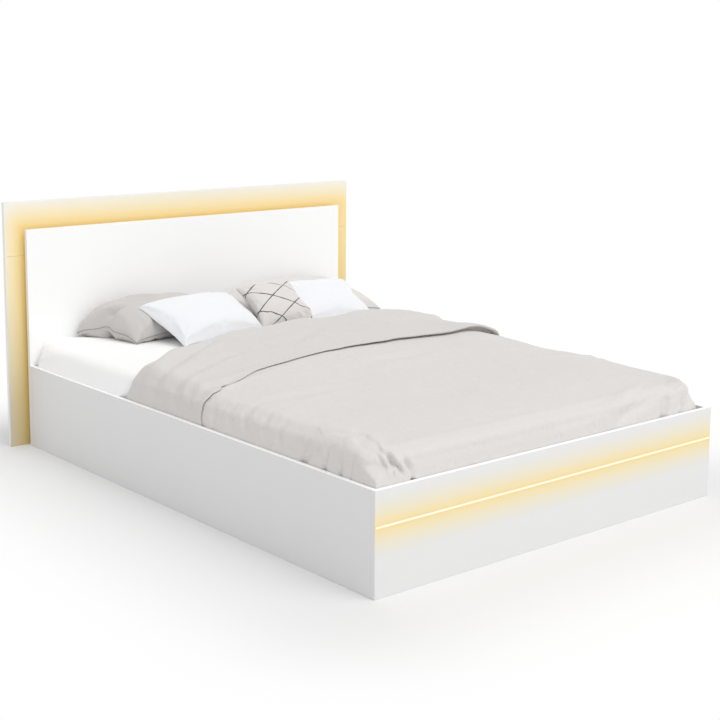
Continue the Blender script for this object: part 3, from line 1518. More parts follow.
@dataclass
class Duvet:
    """Duvet over the foot two thirds of the bed, its head end folded back in a wide flap.

    Thicknesses on the top end in loft, those down the sides in side_loft, and flares are
    what the sides gain lower down. The flap's free edge and the fold each bow across the bed
    from a crest, and sweep towards the head where they go down the sides.
    """

    drape: Drape
    gap: float = 3.0 * MM
    loft: float = 34 * MM
    edge_loft: float = 14 * MM
    edge_side: float = 340 * MM
    edge_foot: float = 260 * MM
    shoulder: float = 240 * MM
    shoulder_drop: float = 12 * MM
    edge_drop: float = 5 * MM
    side_loft: float = 9 * MM
    side_loft_flap: float = 5 * MM
    foot_loft: float = 15 * MM
    side_flare: float = 25 * MM
    foot_flare: float = 32 * MM
    right_flare: float = 22 * MM
    under_flap: float = 9 * MM
    rounding: float = 6 * MM
    hem: float = 0.24
    bow_width: float = 0.708
    flap_loft: float = 20 * MM
    flap_edge_loft: float = 5.5 * MM
    flap_edge_right: float = 4 * MM
    flap_side_loft: float = 7 * MM
    flap_swell: float = 130 * MM
    flap_crest: float = 0.004
    flap_crest_side: float = 0.13
    flap_bow: float = 0.113
    flap_dip: float = 27 * MM
    flap_sweep: float = 0.044
    flap_setback: float = 6 * MM
    overlap: float = 9 * MM
    inner_turn: float = 13 * MM
    opening: float = 2.4 * MM
    opening_right: float = 5.5 * MM
    mouth: float = 11 * MM
    mouth_swell: float = 13 * MM
    fold_crest: float = 0.454
    fold_crest_side: float = 0.19
    fold_bow: float = 0.168
    fold_bump: float = 30 * MM
    fold_dip: float = 12 * MM
    fold_dips: tuple[Pair, ...] = ((-0.42, 0.14), (0.27, 0.12))
    fold_radius: float = 36 * MM
    fold_rise: float = 17 * MM
    fold_sweep: float = 0.190
    lip: float = 1.0 * MM
    corner_fill: float = 30 * MM
    corner_lean: float = 24 * MM
    puff: float = 22 * MM
    puff_at: Pair = (-0.675, -0.82)
    puff_size: Pair = (0.06, 0.14)
    flute: float = 4 * MM
    board_gap: float = 0.8 * MM
    tuck: float = 3.5 * MM
    nose: tuple[Triple, ...] = (
        (-3, 0.0, 0.0), (6, 0.0, 0.0), (18, 0.0, 0.0), (30, 0.0, 0.0), (34, 0.5, 0.0),
        (30, 1.0, 0.0), (18, 1.0, 0.0), (6, 1.0, 0.0), (0.5, 1.0, 0.04), (-1.8, 1.0, 0.3),
        (-2.2, 1.0, 0.6), (-0.8, 1.0, 0.88), (2.5, 1.0, 1.0))
    creases: tuple[Crease, ...] = (
        Crease((-0.79, -0.245), (-0.640, -0.205), 8, 13, 0.4),
        Crease((-0.79, -0.322), (-0.630, -0.280), 8, 13, 0.4),
        Crease((-0.79, -0.408), (-0.610, -0.350), 10, 15, 0.4),
        Crease((-0.79, -0.500), (-0.630, -0.450), 9, 14, 0.4),
        Crease((-0.79, -0.564), (-0.660, -0.540), 15, 12, 0.4),
        Crease((-0.790, -0.640), (-0.620, -0.800), 22, 20, 0.3),
        Crease((-0.715, -0.700), (-0.625, -0.840), 32, 24, 0.1, True),
        Crease((-0.622, -0.775), (-0.690, -0.965), 24, 17, 0.1, True),
        Crease((-0.79, -0.668), (-0.675, -0.690), 24, 13, 0.4),
        Crease((-0.79, -0.755), (-0.665, -0.775), 32, 13, 0.5),
        Crease((-0.79, -0.823), (-0.680, -0.832), 25, 11, 0.5),
        Crease((-0.79, -0.873), (-0.680, -0.880), 23, 10, 0.5),
        Crease((-0.657, -1.045), (-0.640, -0.915), 17, 8, 0.6),
        Crease((-0.568, -1.045), (-0.700, -0.905), 21, 8, 0.7),
        Crease((-0.560, -1.045), (-0.612, -0.945), 36, 9, 0.4),
        Crease((0.188, -1.045), (0.613, -0.885), 19, 22, 0.5),
        Crease((0.490, -1.045), (0.535, -0.930), 36, 20, 0.2),
        Crease((0.575, -1.045), (0.650, -0.870), 20, 12, 0.5),
        Crease((-0.80, 0.020), (-0.610, 0.150), 10, 17, 0.6),
        Crease((-0.80, -0.090), (-0.590, 0.060), 11, 17, 0.6),
        Crease((-0.80, -0.160), (-0.610, -0.030), 9, 14, 0.6),
        Crease((-0.72, -0.125), (-0.42, -0.080), 10, 16, 0.6, True),
        Crease((-0.72, 0.020), (-0.36, 0.120), 10, 22, 0.6, True),
        Crease((-0.74, 0.080), (-0.34, 0.300), 12, 24, 0.6, True),
        Crease((-0.70, 0.190), (-0.50, 0.310), 8, 16, 0.5, True),
        Crease((-0.30, 0.340), (-0.05, 0.200), 6, 24, 0.5, True),
        Crease((-0.20, 0.110), (0.10, 0.260), 6, 28, 0.5, True),
        Crease((0.78, 0.185), (0.30, 0.260), 12, 30, 0.4),
        Crease((0.20, 0.330), (0.60, 0.150), 6, 26, 0.5, True),
        Crease((0.70, -0.400), (0.42, -0.330), 6, 16, 0.5, True),
        Crease((0.71, -0.560), (0.48, -0.530), 5, 14, 0.5, True),
        Crease((-0.66, -0.360), (-0.30, -0.420), 5, 26, 0.5, True),
        Crease((-0.20, -0.230), (0.25, -0.190), 5, 30, 0.5, True),
    )

    def flap_edge(self, x: Array) -> Array:
        """Line of the flap's free edge across the bed, with a corner over the left edge."""
        corner = ramp(-x, 0.600, 0.645) * (1 - ramp(-x, 0.655, 0.745))
        return (self.flap_crest - self.flap_dip * corner
                - self.flap_bow * ((x - self.flap_crest_side) / self.bow_width) ** 2)

    def fold_edge(self, x: Array) -> Array:
        """Line of the fold at the head end, which wavers a little."""
        bow = self.fold_bow * ((x - self.fold_crest_side) / self.bow_width) ** 2
        return (self.fold_crest - bow + self.fold_bump * ramp(-x, 0.46, 0.70)
                - self.fold_dip * sum(hill(x, *dip) for dip in self.fold_dips))

    def fold_line(self, x: Array) -> Array:
        """Where the fold ends on the bed, with the sweep that its sides have."""
        d = self.drape
        over = np.clip((np.abs(x) - d.half) / d.drop(self.hem), 0, 1)
        return self.fold_edge(x) + self.fold_sweep * over

    def row_table(self) -> list[tuple[Part, float, float, float]]:
        """Rows from the hem at the foot to the fold.

        Returns:
            For each row its part and three numbers: its place, share of the way or turn in
            that part, and on the flap's free edge its share of the opening and thickness.
        """
        d = self.drape
        foot = [*(d.foot - np.linspace(d.drop(self.hem), 0, 38)[:-1]),
                *np.linspace(d.foot, d.foot + d.corner, 12)[:-1]]
        rows = [(Part.FOOT, place, 0.0, 0.0) for place in foot]
        rows += [(Part.BODY, share, 0.0, 0.0) for share in np.linspace(0, 1, 125) ** 1.25]
        rows += [(Part.NOSE, jut * MM, opened, thick) for jut, opened, thick in self.nose]
        rows += [(Part.FLAP, share, 0.0, 0.0) for share in np.linspace(0, 1, 50)]
        rows += [(Part.FOLD, turn, 0.0, 0.0) for turn in np.linspace(0, 0.93 * math.pi, 17)[1:]]
        return rows

    def layout(self) -> Cloth:
        """Sets out the grid on the cloth, with more columns where its folds are."""
        d = self.drape
        drop = d.drop(self.hem)
        table = self.row_table()
        sides = np.concatenate([-d.half - np.linspace(drop, 0, 36)[:-1],
                                np.linspace(-d.half, -0.42, 52)[:-1],
                                np.linspace(-0.42, 0.40, 82)[:-1],
                                np.linspace(0.40, d.half, 36),
                                d.half + np.linspace(0, drop, 26)[1:]])
        x = np.tile(sides, (len(table), 1))
        kinds = np.array([row[0].value for row in table])[:, None]
        first, opened, thickness = (
            np.array([row[k] for row in table])[:, None] + 0 * x for k in (1, 2, 3))
        picks = [np.broadcast_to(kinds == part.value, x.shape) for part in Part]
        flap_at, fold_at = self.flap_edge(x), self.fold_edge(x)
        corner = d.foot + d.corner
        start, end = flap_at + self.flap_setback, fold_at - self.fold_radius
        turn = np.clip(first, 0, math.pi)
        body = corner + (flap_at - self.overlap - corner) * first
        flap = start + (end - start) * first
        order = np.cumsum(picks[Part.NOSE.value], axis=0) / len(self.nose)
        along = np.select(picks, [
            first, body, flap_at + first, flap, end + self.fold_radius * np.sin(turn)])
        inner_along = np.select(picks, [
            first, body, flap_at - self.overlap + order * self.inner_turn, flap,
            end + 0.2 * self.fold_radius * np.sin(turn)])
        return Cloth(x, along, inner_along, flap_at, picks, first, opened, thickness,
                     (1 + np.cos(turn)) / 2)

    def side_ease(self, x: Array) -> Array:
        """Rises from 0 at the side edges to 1 on the middle of the top."""
        return 1 - np.clip(1 - (self.drape.half - np.abs(x)) / self.edge_side, 0, 1) ** 2

    def top(self, c: Cloth) -> Array:
        """Returns the thickness that each point has where the duvet lies flat.

        Args:
            c: the grid.

        Returns:
            The thickness.
        """
        foot = 1 - np.clip(1 - (c.along - self.drape.foot) / self.edge_foot, 0, 1) ** 2
        body = self.edge_loft + (self.loft - self.edge_loft) * self.side_ease(c.x) * (
            0.3 + 0.7 * foot)
        opening = (self.opening + self.opening_right * ramp(c.x, -0.30, 0.35)
                   + self.mouth * hill(c.x, 0.60, 0.075))
        body += self.mouth_swell * hill(c.x, 0.57, 0.10) * hill(
            c.along, c.flap_at + 0.02, 0.12)
        body += self.puff * hill(c.x, self.puff_at[0], self.puff_size[0]) * hill(
            c.along, self.puff_at[1], self.puff_size[1])
        edge = self.flap_edge_loft + self.flap_edge_right * ramp(c.x, 0.0, 0.5)
        full = ramp(np.maximum(c.along - c.flap_at, 0), 0, self.flap_swell)
        flap = body + (opening + edge) * (1 - full) + self.flap_loft * full
        rise = self.fold_rise * (1 - 0.4 * sum(hill(c.x, *dip) for dip in self.fold_dips)
                                 - 0.4 * ramp(c.x, 0.56, 0.66))
        return np.select(c.picks, [
            body, body, body + opening * c.opened + edge * c.thickness,
            flap + rise * np.clip(c.first, 0, 1) ** 2,
            self.lip + (body + self.flap_loft + rise - self.lip) * c.bend])

    def side(self, c: Cloth, down: Array) -> Array:
        """Returns the thickness that each point has where the duvet hangs down.

        Args:
            c: the grid.
            down: how far each point is down the side, from 0 to 1.

        Returns:
            The thickness.
        """
        d = self.drape
        foot_way = ramp(d.foot + d.corner - c.along, 0, d.corner)
        near_flap = ramp(c.along, c.flap_at - 0.20, c.flap_at - 0.03)
        fall = ramp(down, 0, 0.5)
        flare = np.where(c.x < 0, self.side_flare, self.right_flare)
        body = self.side_loft + flare * fall
        body += foot_way * (self.foot_loft - self.side_loft
                            + (self.foot_flare - flare) * fall)
        body -= (self.side_loft - self.side_loft_flap + self.under_flap * fall) * near_flap
        body += 0.6 * self.puff * hill(c.along, self.puff_at[1], self.puff_size[1]) * (
            c.x < 0) * (1 - fall)
        flap = body + self.flap_side_loft + 0.4 * self.under_flap * fall
        return np.select(c.picks, [
            body, body, body + 5 * MM * c.opened + 4 * MM * c.thickness, flap,
            self.lip + (flap - self.lip) * c.bend])

    def corners(self, c: Cloth, down: Array) -> Array:
        """Fills out the left foot corner and draws in the right one.

        Args:
            c: the grid.
            down: how far each point is down the side, from 0 to 1.

        Returns:
            The thickness gained, below zero where it is lost.
        """
        d = self.drape
        across = np.maximum(np.abs(c.x) - d.half + d.corner, 0)
        past = np.maximum(d.foot + d.corner - c.along, 0)
        diagonal = 2 * across * past / np.maximum(across ** 2 + past ** 2, TINY)
        away = np.hypot(c.x - d.half, c.along - d.foot)
        lean = hill(away, 0, 0.16) * (0.3 + 0.7 * ramp(down, 0, 0.4))
        fill = diagonal ** 1.5 * ramp(down, 0.0, 0.45)
        return np.where(c.x < 0, self.corner_fill * fill, -self.corner_lean * lean)

    def wrinkles(self, x: Array, along: Array, out: Array) -> Array:
        """Returns the height of folds and creases on the outer skin.

        Args:
            x: place across the flat cloth.
            along: place along the flat cloth.
            out: how much the cloth faces out rather than up.

        Returns:
            The height in metres, below zero in a valley.
        """
        half = self.drape.half
        broad = noise(x * 2.3 + 5, along * 2.0 + 2, 1) * 7.0 * MM
        middle = noise(x * 7.0 + along * 3, along * 5.0 - x * 2, 2) * 5.0 * MM
        small = noise(x * 17 + along * 6, along * 13 - x * 6, 9) * 1.3 * MM
        total = (broad + middle + small) * (1 - 0.75 * out)
        for crease in self.creases:
            total += crease.height(x, along)
        flutes = noise(along * 13, x * 3, 6) + 0.4 * noise(along * 31, x * 3, 7)
        return total + self.flute * flutes * ramp(np.abs(x), half - 0.05, half + 0.08)

    def outer_lift(self, c: Cloth) -> Array:
        """Returns the duvet's thickness everywhere, with its creases.

        Args:
            c: the grid.

        Returns:
            The thickness, always above zero.
        """
        d = self.drape
        _, down, out = d.lay(c.x, c.along, np.zeros_like(c.x), self.hem)
        top = self.top(c)
        thick = top + (self.side(c, down) - top) * out
        thick -= 4 * out ** 2 * (1 - out ** 2) * self.rounding * np.where(
            c.picks[Part.FOLD.value], c.bend, 1)
        shoulder = np.clip((d.foot + self.shoulder - c.along) / self.shoulder, 0, 1) ** 2
        thick -= (self.shoulder_drop * shoulder
                  + self.edge_drop * (1 - self.side_ease(c.x))) * (1 - out ** 2)
        thick += self.corners(c, down)
        calm = np.select(c.picks, [1.0, 1.0, 0.8, 1.0, 0.8 * c.bend + 0.1])
        crease = self.wrinkles(c.x, c.along, out) * calm
        return np.maximum(thick + crease, 0.6 * MM + 0.2 * thick)

    def build(self) -> Piece:
        """Builds the duvet as one closed body, kept clear of the rails and the footboard."""
        d = self.drape
        c = self.layout()
        outer, _, _ = d.lay(c.x, c.along, self.gap + self.outer_lift(c), self.hem)
        inner, _, _ = d.lay(c.x, c.inner_along, self.gap + 0 * c.x, self.hem)
        sweep = np.select(c.picks, [
            0.0, self.flap_sweep * c.first, self.flap_sweep,
            self.flap_sweep + (self.fold_sweep - self.flap_sweep) * c.first,
            self.fold_sweep])
        over = np.maximum(np.abs(c.x) - d.half, 0) / d.drop(self.hem)
        for skin in (outer, inner):
            skin[..., 1] += sweep * over
        tucked = np.select(c.picks[:3], [
            0.0, ramp(c.along, c.flap_at - 0.04, c.flap_at - 0.01),
            1 - c.opened + 0.45 * c.opened * (1 - c.thickness)])
        rail = RAIL_FACE - self.board_gap - self.tuck * tucked
        foot = FOOT_FACE + self.board_gap
        outer[..., 0] = np.sign(c.x) * soft_limit(np.abs(outer[..., 0]), rail)
        outer[..., 1] = -soft_limit(-outer[..., 1], -foot)
        turned_back = np.select(c.picks[:3], [0.0, 0.0, c.thickness > 0.2], 1.0)
        made = layer("duvet_cotton", outer, inner, DUVET_COTTON, turned_back)
        return declare(made, replaces=("duvet",))


# Pillows


@dataclass
class Pillow:
    """A stuffed pillow: two skins that swell from one seam, pressed on what carries it.

    Its front swells by crown and its back by belly, each the rounder the lower its
    fullness. Draw_in is how far its sides pull in between the corners, rear_share how much
    more it swells at its rear, and pinch the dent in its left side. Its middle lies at side,
    from_panel and height, and it leans back by tilt and turns by yaw, in degrees.
    """

    node: str
    finish: Finish
    width: float
    depth: float
    crown: float
    belly: float
    draw_in: float
    droop: float
    fullness: float
    side: float
    from_panel: float
    height: float
    tilt: float
    yaw: float
    skew: float = 0.0
    rear_share: float = 0.0
    taper: float = 0.0
    belly_fullness: float = 0.45
    fill: float = 0.65
    piping: float = 0.0
    slack: float = 0.03
    lumps: float = 2.5 * MM
    fans: float = 2.5 * MM
    pinch: float = 0.0
    blunt: float = 0.0
    creases: tuple[Crease, ...] = ()
    panel_gap: float = 1.5 * MM
    floor_gap: float = 0.6 * MM
    give: float = 0.45
    columns: int = 100
    rows: int = 72

    def __post_init__(self) -> None:
        """Numbers the points of both skins, which share the seam's points."""
        rows, columns = self.rows + 1, self.columns + 1
        self.top = np.arange(rows * columns).reshape(rows, columns)
        self.bottom = self.top.copy()
        inside = (rows - 2) * (columns - 2)
        self.bottom[1:-1, 1:-1] = rows * columns + np.arange(inside).reshape(
            rows - 2, columns - 2)
        self.count = rows * columns + inside
        v = -np.cos(np.linspace(0, math.pi, rows))[:, None]
        u = -np.cos(np.linspace(0, math.pi, columns))[None, :]
        self.u, self.v = u + 0 * v, v + 0 * u

    def relief(self, seed: int) -> Array:
        """Adds up lumps, the fans of creases at the corners, and single creases.

        Args:
            seed: picks the pattern of the lumps and fans.

        Returns:
            The height at each point of the skin's grid.
        """
        x, y = self.u * self.width / 2, self.v * self.depth / 2
        total = self.lumps * noise(x * 10 + seed, y * 11, seed)
        for sx in (-1, 1):
            for sy in (-1, 1):
                away_x, away_y = self.width / 2 - sx * x, self.depth / 2 - sy * y
                reach = np.hypot(away_x, away_y)
                turns = np.arctan2(away_y, away_x) * 11 + 1.4 * noise(
                    reach * 14, seed + 0 * x, seed + 2)
                total += self.fans * np.sin(turns) * hill(reach, 0.05, 0.055)
        for crease in self.creases:
            total += crease.height(x, y)
        return total

    def shape(self) -> Array:
        """Returns the pillow's points round its own middle."""
        u, v = self.u, self.v
        x = u * (self.width / 2 - self.draw_in * (1 - v * v)) * (1 - self.taper * (1 - v))
        x = x - self.skew * v
        y = v * (self.depth / 2 - self.draw_in * (1 - u * u))
        inward = np.maximum((1 - np.abs(u) ** 3) * (1 - np.abs(v) ** 3), 0)
        lean = (1 + self.rear_share * v) / (1 + self.rear_share)
        drawn = self.pinch * hill(v, 0.14, 0.20) * ramp(-u, 0.55, 1.0)
        x = x + 0.8 * drawn - u * self.blunt * (u * v) ** 4
        y = y - v * self.blunt * (u * v) ** 4
        seam = drawn - self.droop * np.abs(u * v) ** 3
        calm = np.minimum(inward * 3, 1)
        points = np.zeros((self.count, 3))
        for index, height, power, seed in (
                (self.bottom, -self.belly, self.belly_fullness, 21),
                (self.top, self.crown, self.fullness, 31)):
            out = height * inward ** power * lean + np.sign(height) * self.relief(seed) * calm
            points[index] = np.stack([x, y, seam + out], -1)
        return points

    def faces(self) -> list[list[int]]:
        """Returns the faces of both skins, facing out."""
        return grid_faces(self.top) + grid_faces(self.bottom, flip=True)

    def matrix(self) -> Matrix:
        """Returns the pillow's place in the bed."""
        place = Matrix.Translation((self.side, PANEL_FACE - self.from_panel, self.height))
        turn = Matrix.Rotation(math.radians(self.yaw), 4, "Z")
        return place @ turn @ Matrix.Rotation(math.radians(self.tilt), 4, "X")

    def settle(self, points: Array, floor: BVHTree, others: Sequence[BVHTree],
               gap: float) -> Array:
        """Presses the pillow onto what lies under and behind it.

        Args:
            points: the pillow's points in the bed.
            floor: the surface under it.
            others: the pillows and duvet that it leans on.
            gap: the space kept to them.

        Returns:
            The pressed points.
        """
        way = (self.matrix().to_3x3() @ Vector((0, 0, 1))).normalized()
        panel = PANEL_FACE - self.panel_gap

        def needed(index: Array) -> Array:
            """Returns how far each point of a skin must rise to be clear."""
            rise = np.zeros(index.shape)
            for place, number in np.ndenumerate(index):
                point = Vector(points[number])
                for other in others:
                    hit, normal, _, far = other.ray_cast(point, way)
                    if hit is not None and normal.dot(way) > 0:
                        rise[place] = max(rise[place], far + gap)
                hit = floor.ray_cast(Vector((point.x, point.y, 1.0)), Vector((0, 0, -1)))[0]
                if hit is not None:
                    short = (hit.z + self.floor_gap - point.z) / way.z
                    rise[place] = max(rise[place], short)
            return rise

        under = spread(needed(self.bottom))
        thick = np.linalg.norm(points[self.top] - points[self.bottom], axis=-1)
        over = spread(np.maximum(under - self.give * thick, needed(self.top)))
        pressed = points.copy()
        pressed[self.bottom] += under[..., None] * np.array(way)
        inside = (slice(1, -1), slice(1, -1))
        pressed[self.top[inside]] += over[inside][..., None] * np.array(way)
        pressed[:, 1] = np.minimum(pressed[:, 1], panel)
        return pressed

    def dress(self, points: Array) -> None:
        """Makes the pillow's piece, with its piping.

        Args:
            points: the pillow's points in the bed.
        """
        made = mesh_object(f"{self.node}_cotton", points, self.faces(), self.finish)
        plane = made.data.uv_layers.new(name="plane")
        flat = np.zeros((self.count, 2))
        for index in (self.bottom, self.top):
            flat[index] = np.stack([self.u * self.width / 2, self.v * self.depth / 2], -1)
        corners = np.zeros(len(made.data.loops), int)
        made.data.loops.foreach_get("vertex_index", corners)
        spots = flat[corners]
        # The back's corners come after the front's, and no pattern is drawn there
        spots[4 * self.rows * self.columns:] = 0
        plane.data.foreach_set("uv", spots.ravel())
        smooth_shade(made)
        subdivide = made.modifiers.new("round", "SUBSURF")
        subdivide.levels = subdivide.render_levels = 1
        declare(made, replaces=(self.node,))
        if self.piping:
            seam = Kit.TUBE.run(f"{self.node}_piping", PIPING,
                                path_object(points[rim(self.top)], True),
                                Radius=self.piping, Sides=8)
            declare(smooth_shade(seam))


def spread(rise: Array, passes: int = 10) -> Array:
    """Eases a skin's rise out to its neighbours, so that it bends instead of stepping.

    Args:
        rise: how far each point of the skin's grid rises.
        passes: how many points further the rise reaches.

    Returns:
        The eased rise, nowhere less than it was.
    """
    for _ in range(passes):
        padded = np.pad(rise, 1, mode="edge")
        near = (padded[:-2, 1:-1] + padded[2:, 1:-1] + padded[1:-1, :-2]
                + padded[1:-1, 2:]) / 4
        rise = np.maximum(rise, near)
    return rise


def swell(pillows: Sequence[Pillow], shapes: list[Array], reach: float,
          steps: int = 20) -> list[Array]:
    """Fills the pillows by a cloth simulation and keeps how their skins move.

    Args:
        pillows: the pillows.
        shapes: each pillow's points at the start.
        reach: the furthest that a point may move.
        steps: the number of frames that the filling takes.

    Returns:
        Each pillow's points after filling.
    """
    made = []
    for pillow, points in zip(pillows, shapes):
        obj = mesh_object("filling", points, pillow.faces())
        cloth = obj.modifiers.new("fill", "CLOTH")
        settings = cloth.settings
        settings.quality = 6
        settings.mass = 0.25
        settings.tension_stiffness = settings.compression_stiffness = 12
        settings.shear_stiffness = 4
        settings.bending_stiffness = 0.15
        settings.use_pressure = True
        settings.uniform_pressure_force = 4.0
        settings.shrink_min = settings.shrink_max = -pillow.slack
        settings.effector_weights.gravity = 0
        cloth.collision_settings.use_collision = False
        cloth.point_cache.frame_start = 1
        cloth.point_cache.frame_end = steps
        made.append(obj)
    scene = bpy.context.scene
    for step in range(steps):
        scene.frame_set(step + 1)
    graph = bpy.context.evaluated_depsgraph_get()
    result = []
    for obj, points in zip(made, shapes):
        mesh = obj.evaluated_get(graph).to_mesh()
        after = np.zeros(len(points) * 3)
        mesh.vertices.foreach_get("co", after)
        move = after.reshape(-1, 3) - points
        size = np.linalg.norm(move, axis=1, keepdims=True)
        result.append(points + move * np.minimum(1, reach / np.maximum(size, TINY)))
    discard(*made)
    scene.frame_set(1)
    return result


@dataclass
class Bedding:
    """Mattress, sheet, duvet, pillows and cushion."""

    pillows: tuple[Pillow, ...] = (
        Pillow("pillow_grey_left", SHADED_COTTON, width=0.505, depth=0.296, crown=0.120,
               belly=0.052, draw_in=0.020, droop=0.026, fullness=0.42, side=-0.254,
               from_panel=0.151, height=0.4223, tilt=3, yaw=0, skew=0.043, rear_share=0.35,
               belly_fullness=0.24, piping=2.0 * MM, pinch=12 * MM, blunt=14 * MM, creases=(
                   Crease((-0.262, 0.021), (-0.140, 0.004), 26, 13, 0.3),
                   Crease((-0.205, -0.160), (-0.185, -0.060), 7, 10, 0.5),
                   Crease((-0.145, -0.160), (-0.130, -0.075), 8, 9, 0.5),
                   Crease((-0.095, -0.160), (-0.090, -0.080), 7, 9, 0.5),
                   Crease((-0.050, -0.160), (-0.055, -0.085), 6, 9, 0.5),
                   Crease((-0.13, 0.110), (0.06, 0.065), 7, 12, 0.5, True),
                   Crease((-0.13, 0.070), (0.03, 0.025), 6, 11, 0.5, True))),
        Pillow("pillow_grey_right", GREIGE_COTTON, width=0.665, depth=0.296, crown=0.120,
               belly=0.052, draw_in=0.024, droop=0.022, fullness=0.50, side=0.372,
               from_panel=0.151, height=0.4223, tilt=3, yaw=0, rear_share=0.35,
               belly_fullness=0.24, piping=2.0 * MM),
        Pillow("pillow_white_left", WHITE_COTTON, width=0.450, depth=0.300, crown=0.060,
               belly=0.018, draw_in=0.012, droop=0.006, fullness=0.60, side=-0.163,
               from_panel=0.302, height=0.4503, tilt=20, yaw=6, skew=-0.011, taper=0.05,
               fill=0.6, slack=0.004, lumps=1.5 * MM, fans=1.6 * MM),
        Pillow("pillow_white_right", WHITE_COTTON, width=0.390, depth=0.262, crown=0.056,
               belly=0.018, draw_in=0.012, droop=0.004, fullness=0.60, side=0.410,
               from_panel=0.274, height=0.4383, tilt=26, yaw=-3, fill=0.6, slack=0.004,
               lumps=1.5 * MM, fans=1.6 * MM),
        Pillow("cushion_lattice", LATTICE, width=0.250, depth=0.214, crown=0.046,
               belly=0.020, draw_in=0.008, droop=0.002, fullness=0.56, side=0.162,
               from_panel=0.300, height=0.4713, tilt=40, yaw=2, fill=0.7, lumps=1.5 * MM,
               fans=1.8 * MM, creases=(
                   Crease((0.10, -0.115), (0.06, -0.045), 5, 10, 0.6),)),
    )
    reach: float = 9 * MM
    gap: float = 1.6 * MM

    def build(self) -> None:
        """Builds the layers from the mattress up, then the pillows on them."""
        drape = Drape()
        Mattress(drape).build()
        cover = Duvet(drape)
        sheet = FittedSheet(Drape(head_corner=30 * MM), cover).build()
        duvet = cover.build()
        graph = bpy.context.evaluated_depsgraph_get()
        floor = BVHTree.FromObject(sheet, graph)
        solids = [BVHTree.FromObject(duvet, graph)]
        shapes = [pillow.shape() for pillow in self.pillows]
        shapes = swell(self.pillows, shapes, self.reach)
        for pillow, shape in zip(self.pillows, shapes):
            matrix = np.array(pillow.matrix())
            points = shape @ matrix[:3, :3].T + matrix[:3, 3]
            pressed = pillow.settle(points, floor, solids, self.gap)
            pillow.dress(pressed)
            solids.append(BVHTree.FromPolygons(pressed.tolist(), pillow.faces()))


# Camera, floor and light


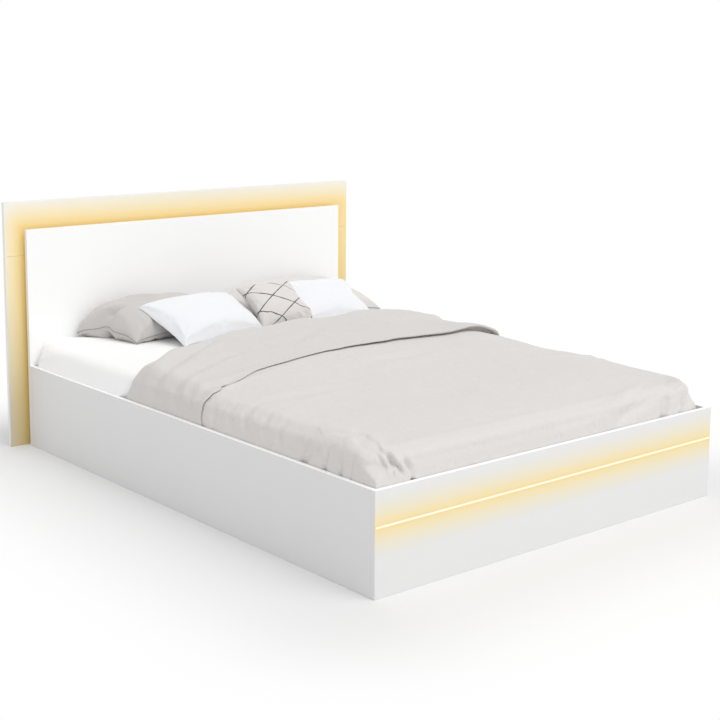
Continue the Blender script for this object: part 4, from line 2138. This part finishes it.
@dataclass
class Studio:
    """The photograph's camera, a white floor and plain soft light."""

    lens: float = 70.72
    shift_y: float = -0.1194
    place: Triple = (-3.0596, -3.693, 1.4241)
    yaw: float = 0.7003
    pitch: float = 0.1525
    roll: float = 0.007
    floor_half: float = 15.0
    fade_start: float = 0.15
    fade_end: float = 0.85
    shade_end: float = 0.7
    sky: float = 0.62
    sun: float = 1.5
    sun_way: Triple = (0.08, -0.52, 0.85)
    sun_angle: float = 60.0
    under: float = 5.0
    under_margin: float = 10 * MM

    def camera(self) -> None:
        """Sets the camera at the photograph's angle."""
        data = bpy.data.cameras.new("camera")
        data.lens = self.lens
        data.sensor_width = 36.0
        data.shift_y = self.shift_y
        data.clip_end = 100.0
        ahead = Vector((math.sin(self.yaw) * math.cos(self.pitch),
                        math.cos(self.yaw) * math.cos(self.pitch), -math.sin(self.pitch)))
        right = Vector((math.cos(self.yaw), -math.sin(self.yaw), 0))
        up = right.cross(ahead)
        level = right * math.cos(self.roll) + up * math.sin(self.roll)
        upright = -right * math.sin(self.roll) + up * math.cos(self.roll)
        turn = Matrix((level, upright, -ahead)).transposed().to_4x4()
        camera = add_object("camera", data)
        camera.matrix_world = Matrix.Translation(self.place) @ turn
        bpy.context.scene.camera = camera

    @staticmethod
    def backdrop_rays(tree: Tree, rays: Any) -> Node:
        """Returns 1 for the rays that see the backdrop: camera, glossy and transmission."""
        seen = add_node(tree, "Math", {0: rays["Is Camera Ray"], 1: rays["Is Glossy Ray"]},
                        operation="MAXIMUM")
        return add_node(tree, "Math", {0: seen, 1: rays["Is Transmission Ray"]},
                        operation="MAXIMUM")

    def floor(self) -> None:
        """Lays a white floor that keeps the bed's shadow, and is clear from underneath."""
        half = self.floor_half
        floor = mesh_object("floor", [(-half, -half, 0), (half, -half, 0), (half, half, 0),
                                      (-half, half, 0)], [(0, 1, 2, 3)])
        material = bpy.data.materials.new("studio floor")
        tree = clean_tree(material)
        place = add_node(tree, "TexCoord").outputs["Object"]
        outside = beyond_box(tree, place, (*CAD_BOX[1][:2], 1.0))
        away = add_node(tree, "VectorMath", {0: outside}, operation="LENGTH").outputs["Value"]
        fade = add_node(tree, "MapRange", {
            "Value": away, "From Min": self.fade_start, "From Max": self.fade_end},
            interpolation_type="SMOOTHSTEP")
        rays = add_node(tree, "LightPath").outputs
        share = add_node(tree, "Math", {0: fade, 1: self.backdrop_rays(tree, rays)},
                         operation="MULTIPLY")
        shade = add_node(tree, "MapRange", {"Value": away, "From Max": self.shade_end},
                         interpolation_type="SMOOTHSTEP")
        tone = add_node(tree, "ValToRGB", {"Fac": shade},
                        stops=((0.0, "eaeaea"), (1.0, "fcfcfc")))
        paint = add_node(tree, "BsdfDiffuse", {"Color": tone})
        white = add_node(tree, "Emission", {"Strength": 1.0})
        mixed = add_node(tree, "MixShader", {0: share, 1: paint, 2: white})
        underside = add_node(tree, "NewGeometry").outputs["Backfacing"]
        below = add_node(tree, "Math", {0: underside, 1: rays["Is Camera Ray"]},
                         operation="MULTIPLY")
        clear = add_node(tree, "BsdfTransparent")
        shown = add_node(tree, "MixShader", {0: below, 1: mixed, 2: clear})
        add_node(tree, "OutputMaterial", {"Surface": shown})
        floor.data.materials.append(material)

    def light(self) -> None:
        """Lights the bed from the sky all round and a wide soft sun above its foot."""
        world = bpy.data.worlds.new("studio")
        tree = clean_tree(world)
        seen = self.backdrop_rays(tree, add_node(tree, "LightPath").outputs)
        strength = add_node(tree, "MapRange", {"Value": seen, "To Min": self.sky, "To Max": 1.0})
        sky = add_node(tree, "Background", {"Color": (1, 1, 1, 1), "Strength": strength})
        add_node(tree, "OutputWorld", {"Surface": sky})
        bpy.context.scene.world = world
        data = bpy.data.lights.new("soft sun", "SUN")
        data.energy = self.sun
        data.angle = math.radians(self.sun_angle)
        sun = add_object("soft sun", data)
        sun.rotation_euler = Vector(self.sun_way).to_track_quat("Z", "Y").to_euler()

    def under_light(self) -> None:
        """Lights the slats and legs from the floor, inside the rails, for views from below."""
        data = bpy.data.lights.new("light under the bed", "AREA")
        data.shape = "RECTANGLE"
        data.size = 2 * (RAIL_FACE - self.under_margin)
        data.size_y = PANEL_FACE - FOOT_FACE - 2 * self.under_margin
        data.energy = self.under
        lamp = add_object("light under the bed", data)
        lamp.location = (0, (PANEL_FACE + FOOT_FACE) / 2, 2 * MM)
        lamp.rotation_euler = (math.pi, 0, 0)
        lamp.visible_camera = False

    def build(self) -> None:
        """Sets up camera, floor and light."""
        self.camera()
        self.floor()
        self.light()
        self.under_light()
        bpy.context.scene.view_settings.view_transform = "Standard"


def main() -> None:
    """Builds the studio and the bed."""
    logging.basicConfig(level=logging.INFO, format="%(name)s: %(message)s")
    for maker in (Studio, Boards, SlattedBase, Fittings, Lights, Bedding):
        maker().build()


if __name__ == "__main__":
    main()
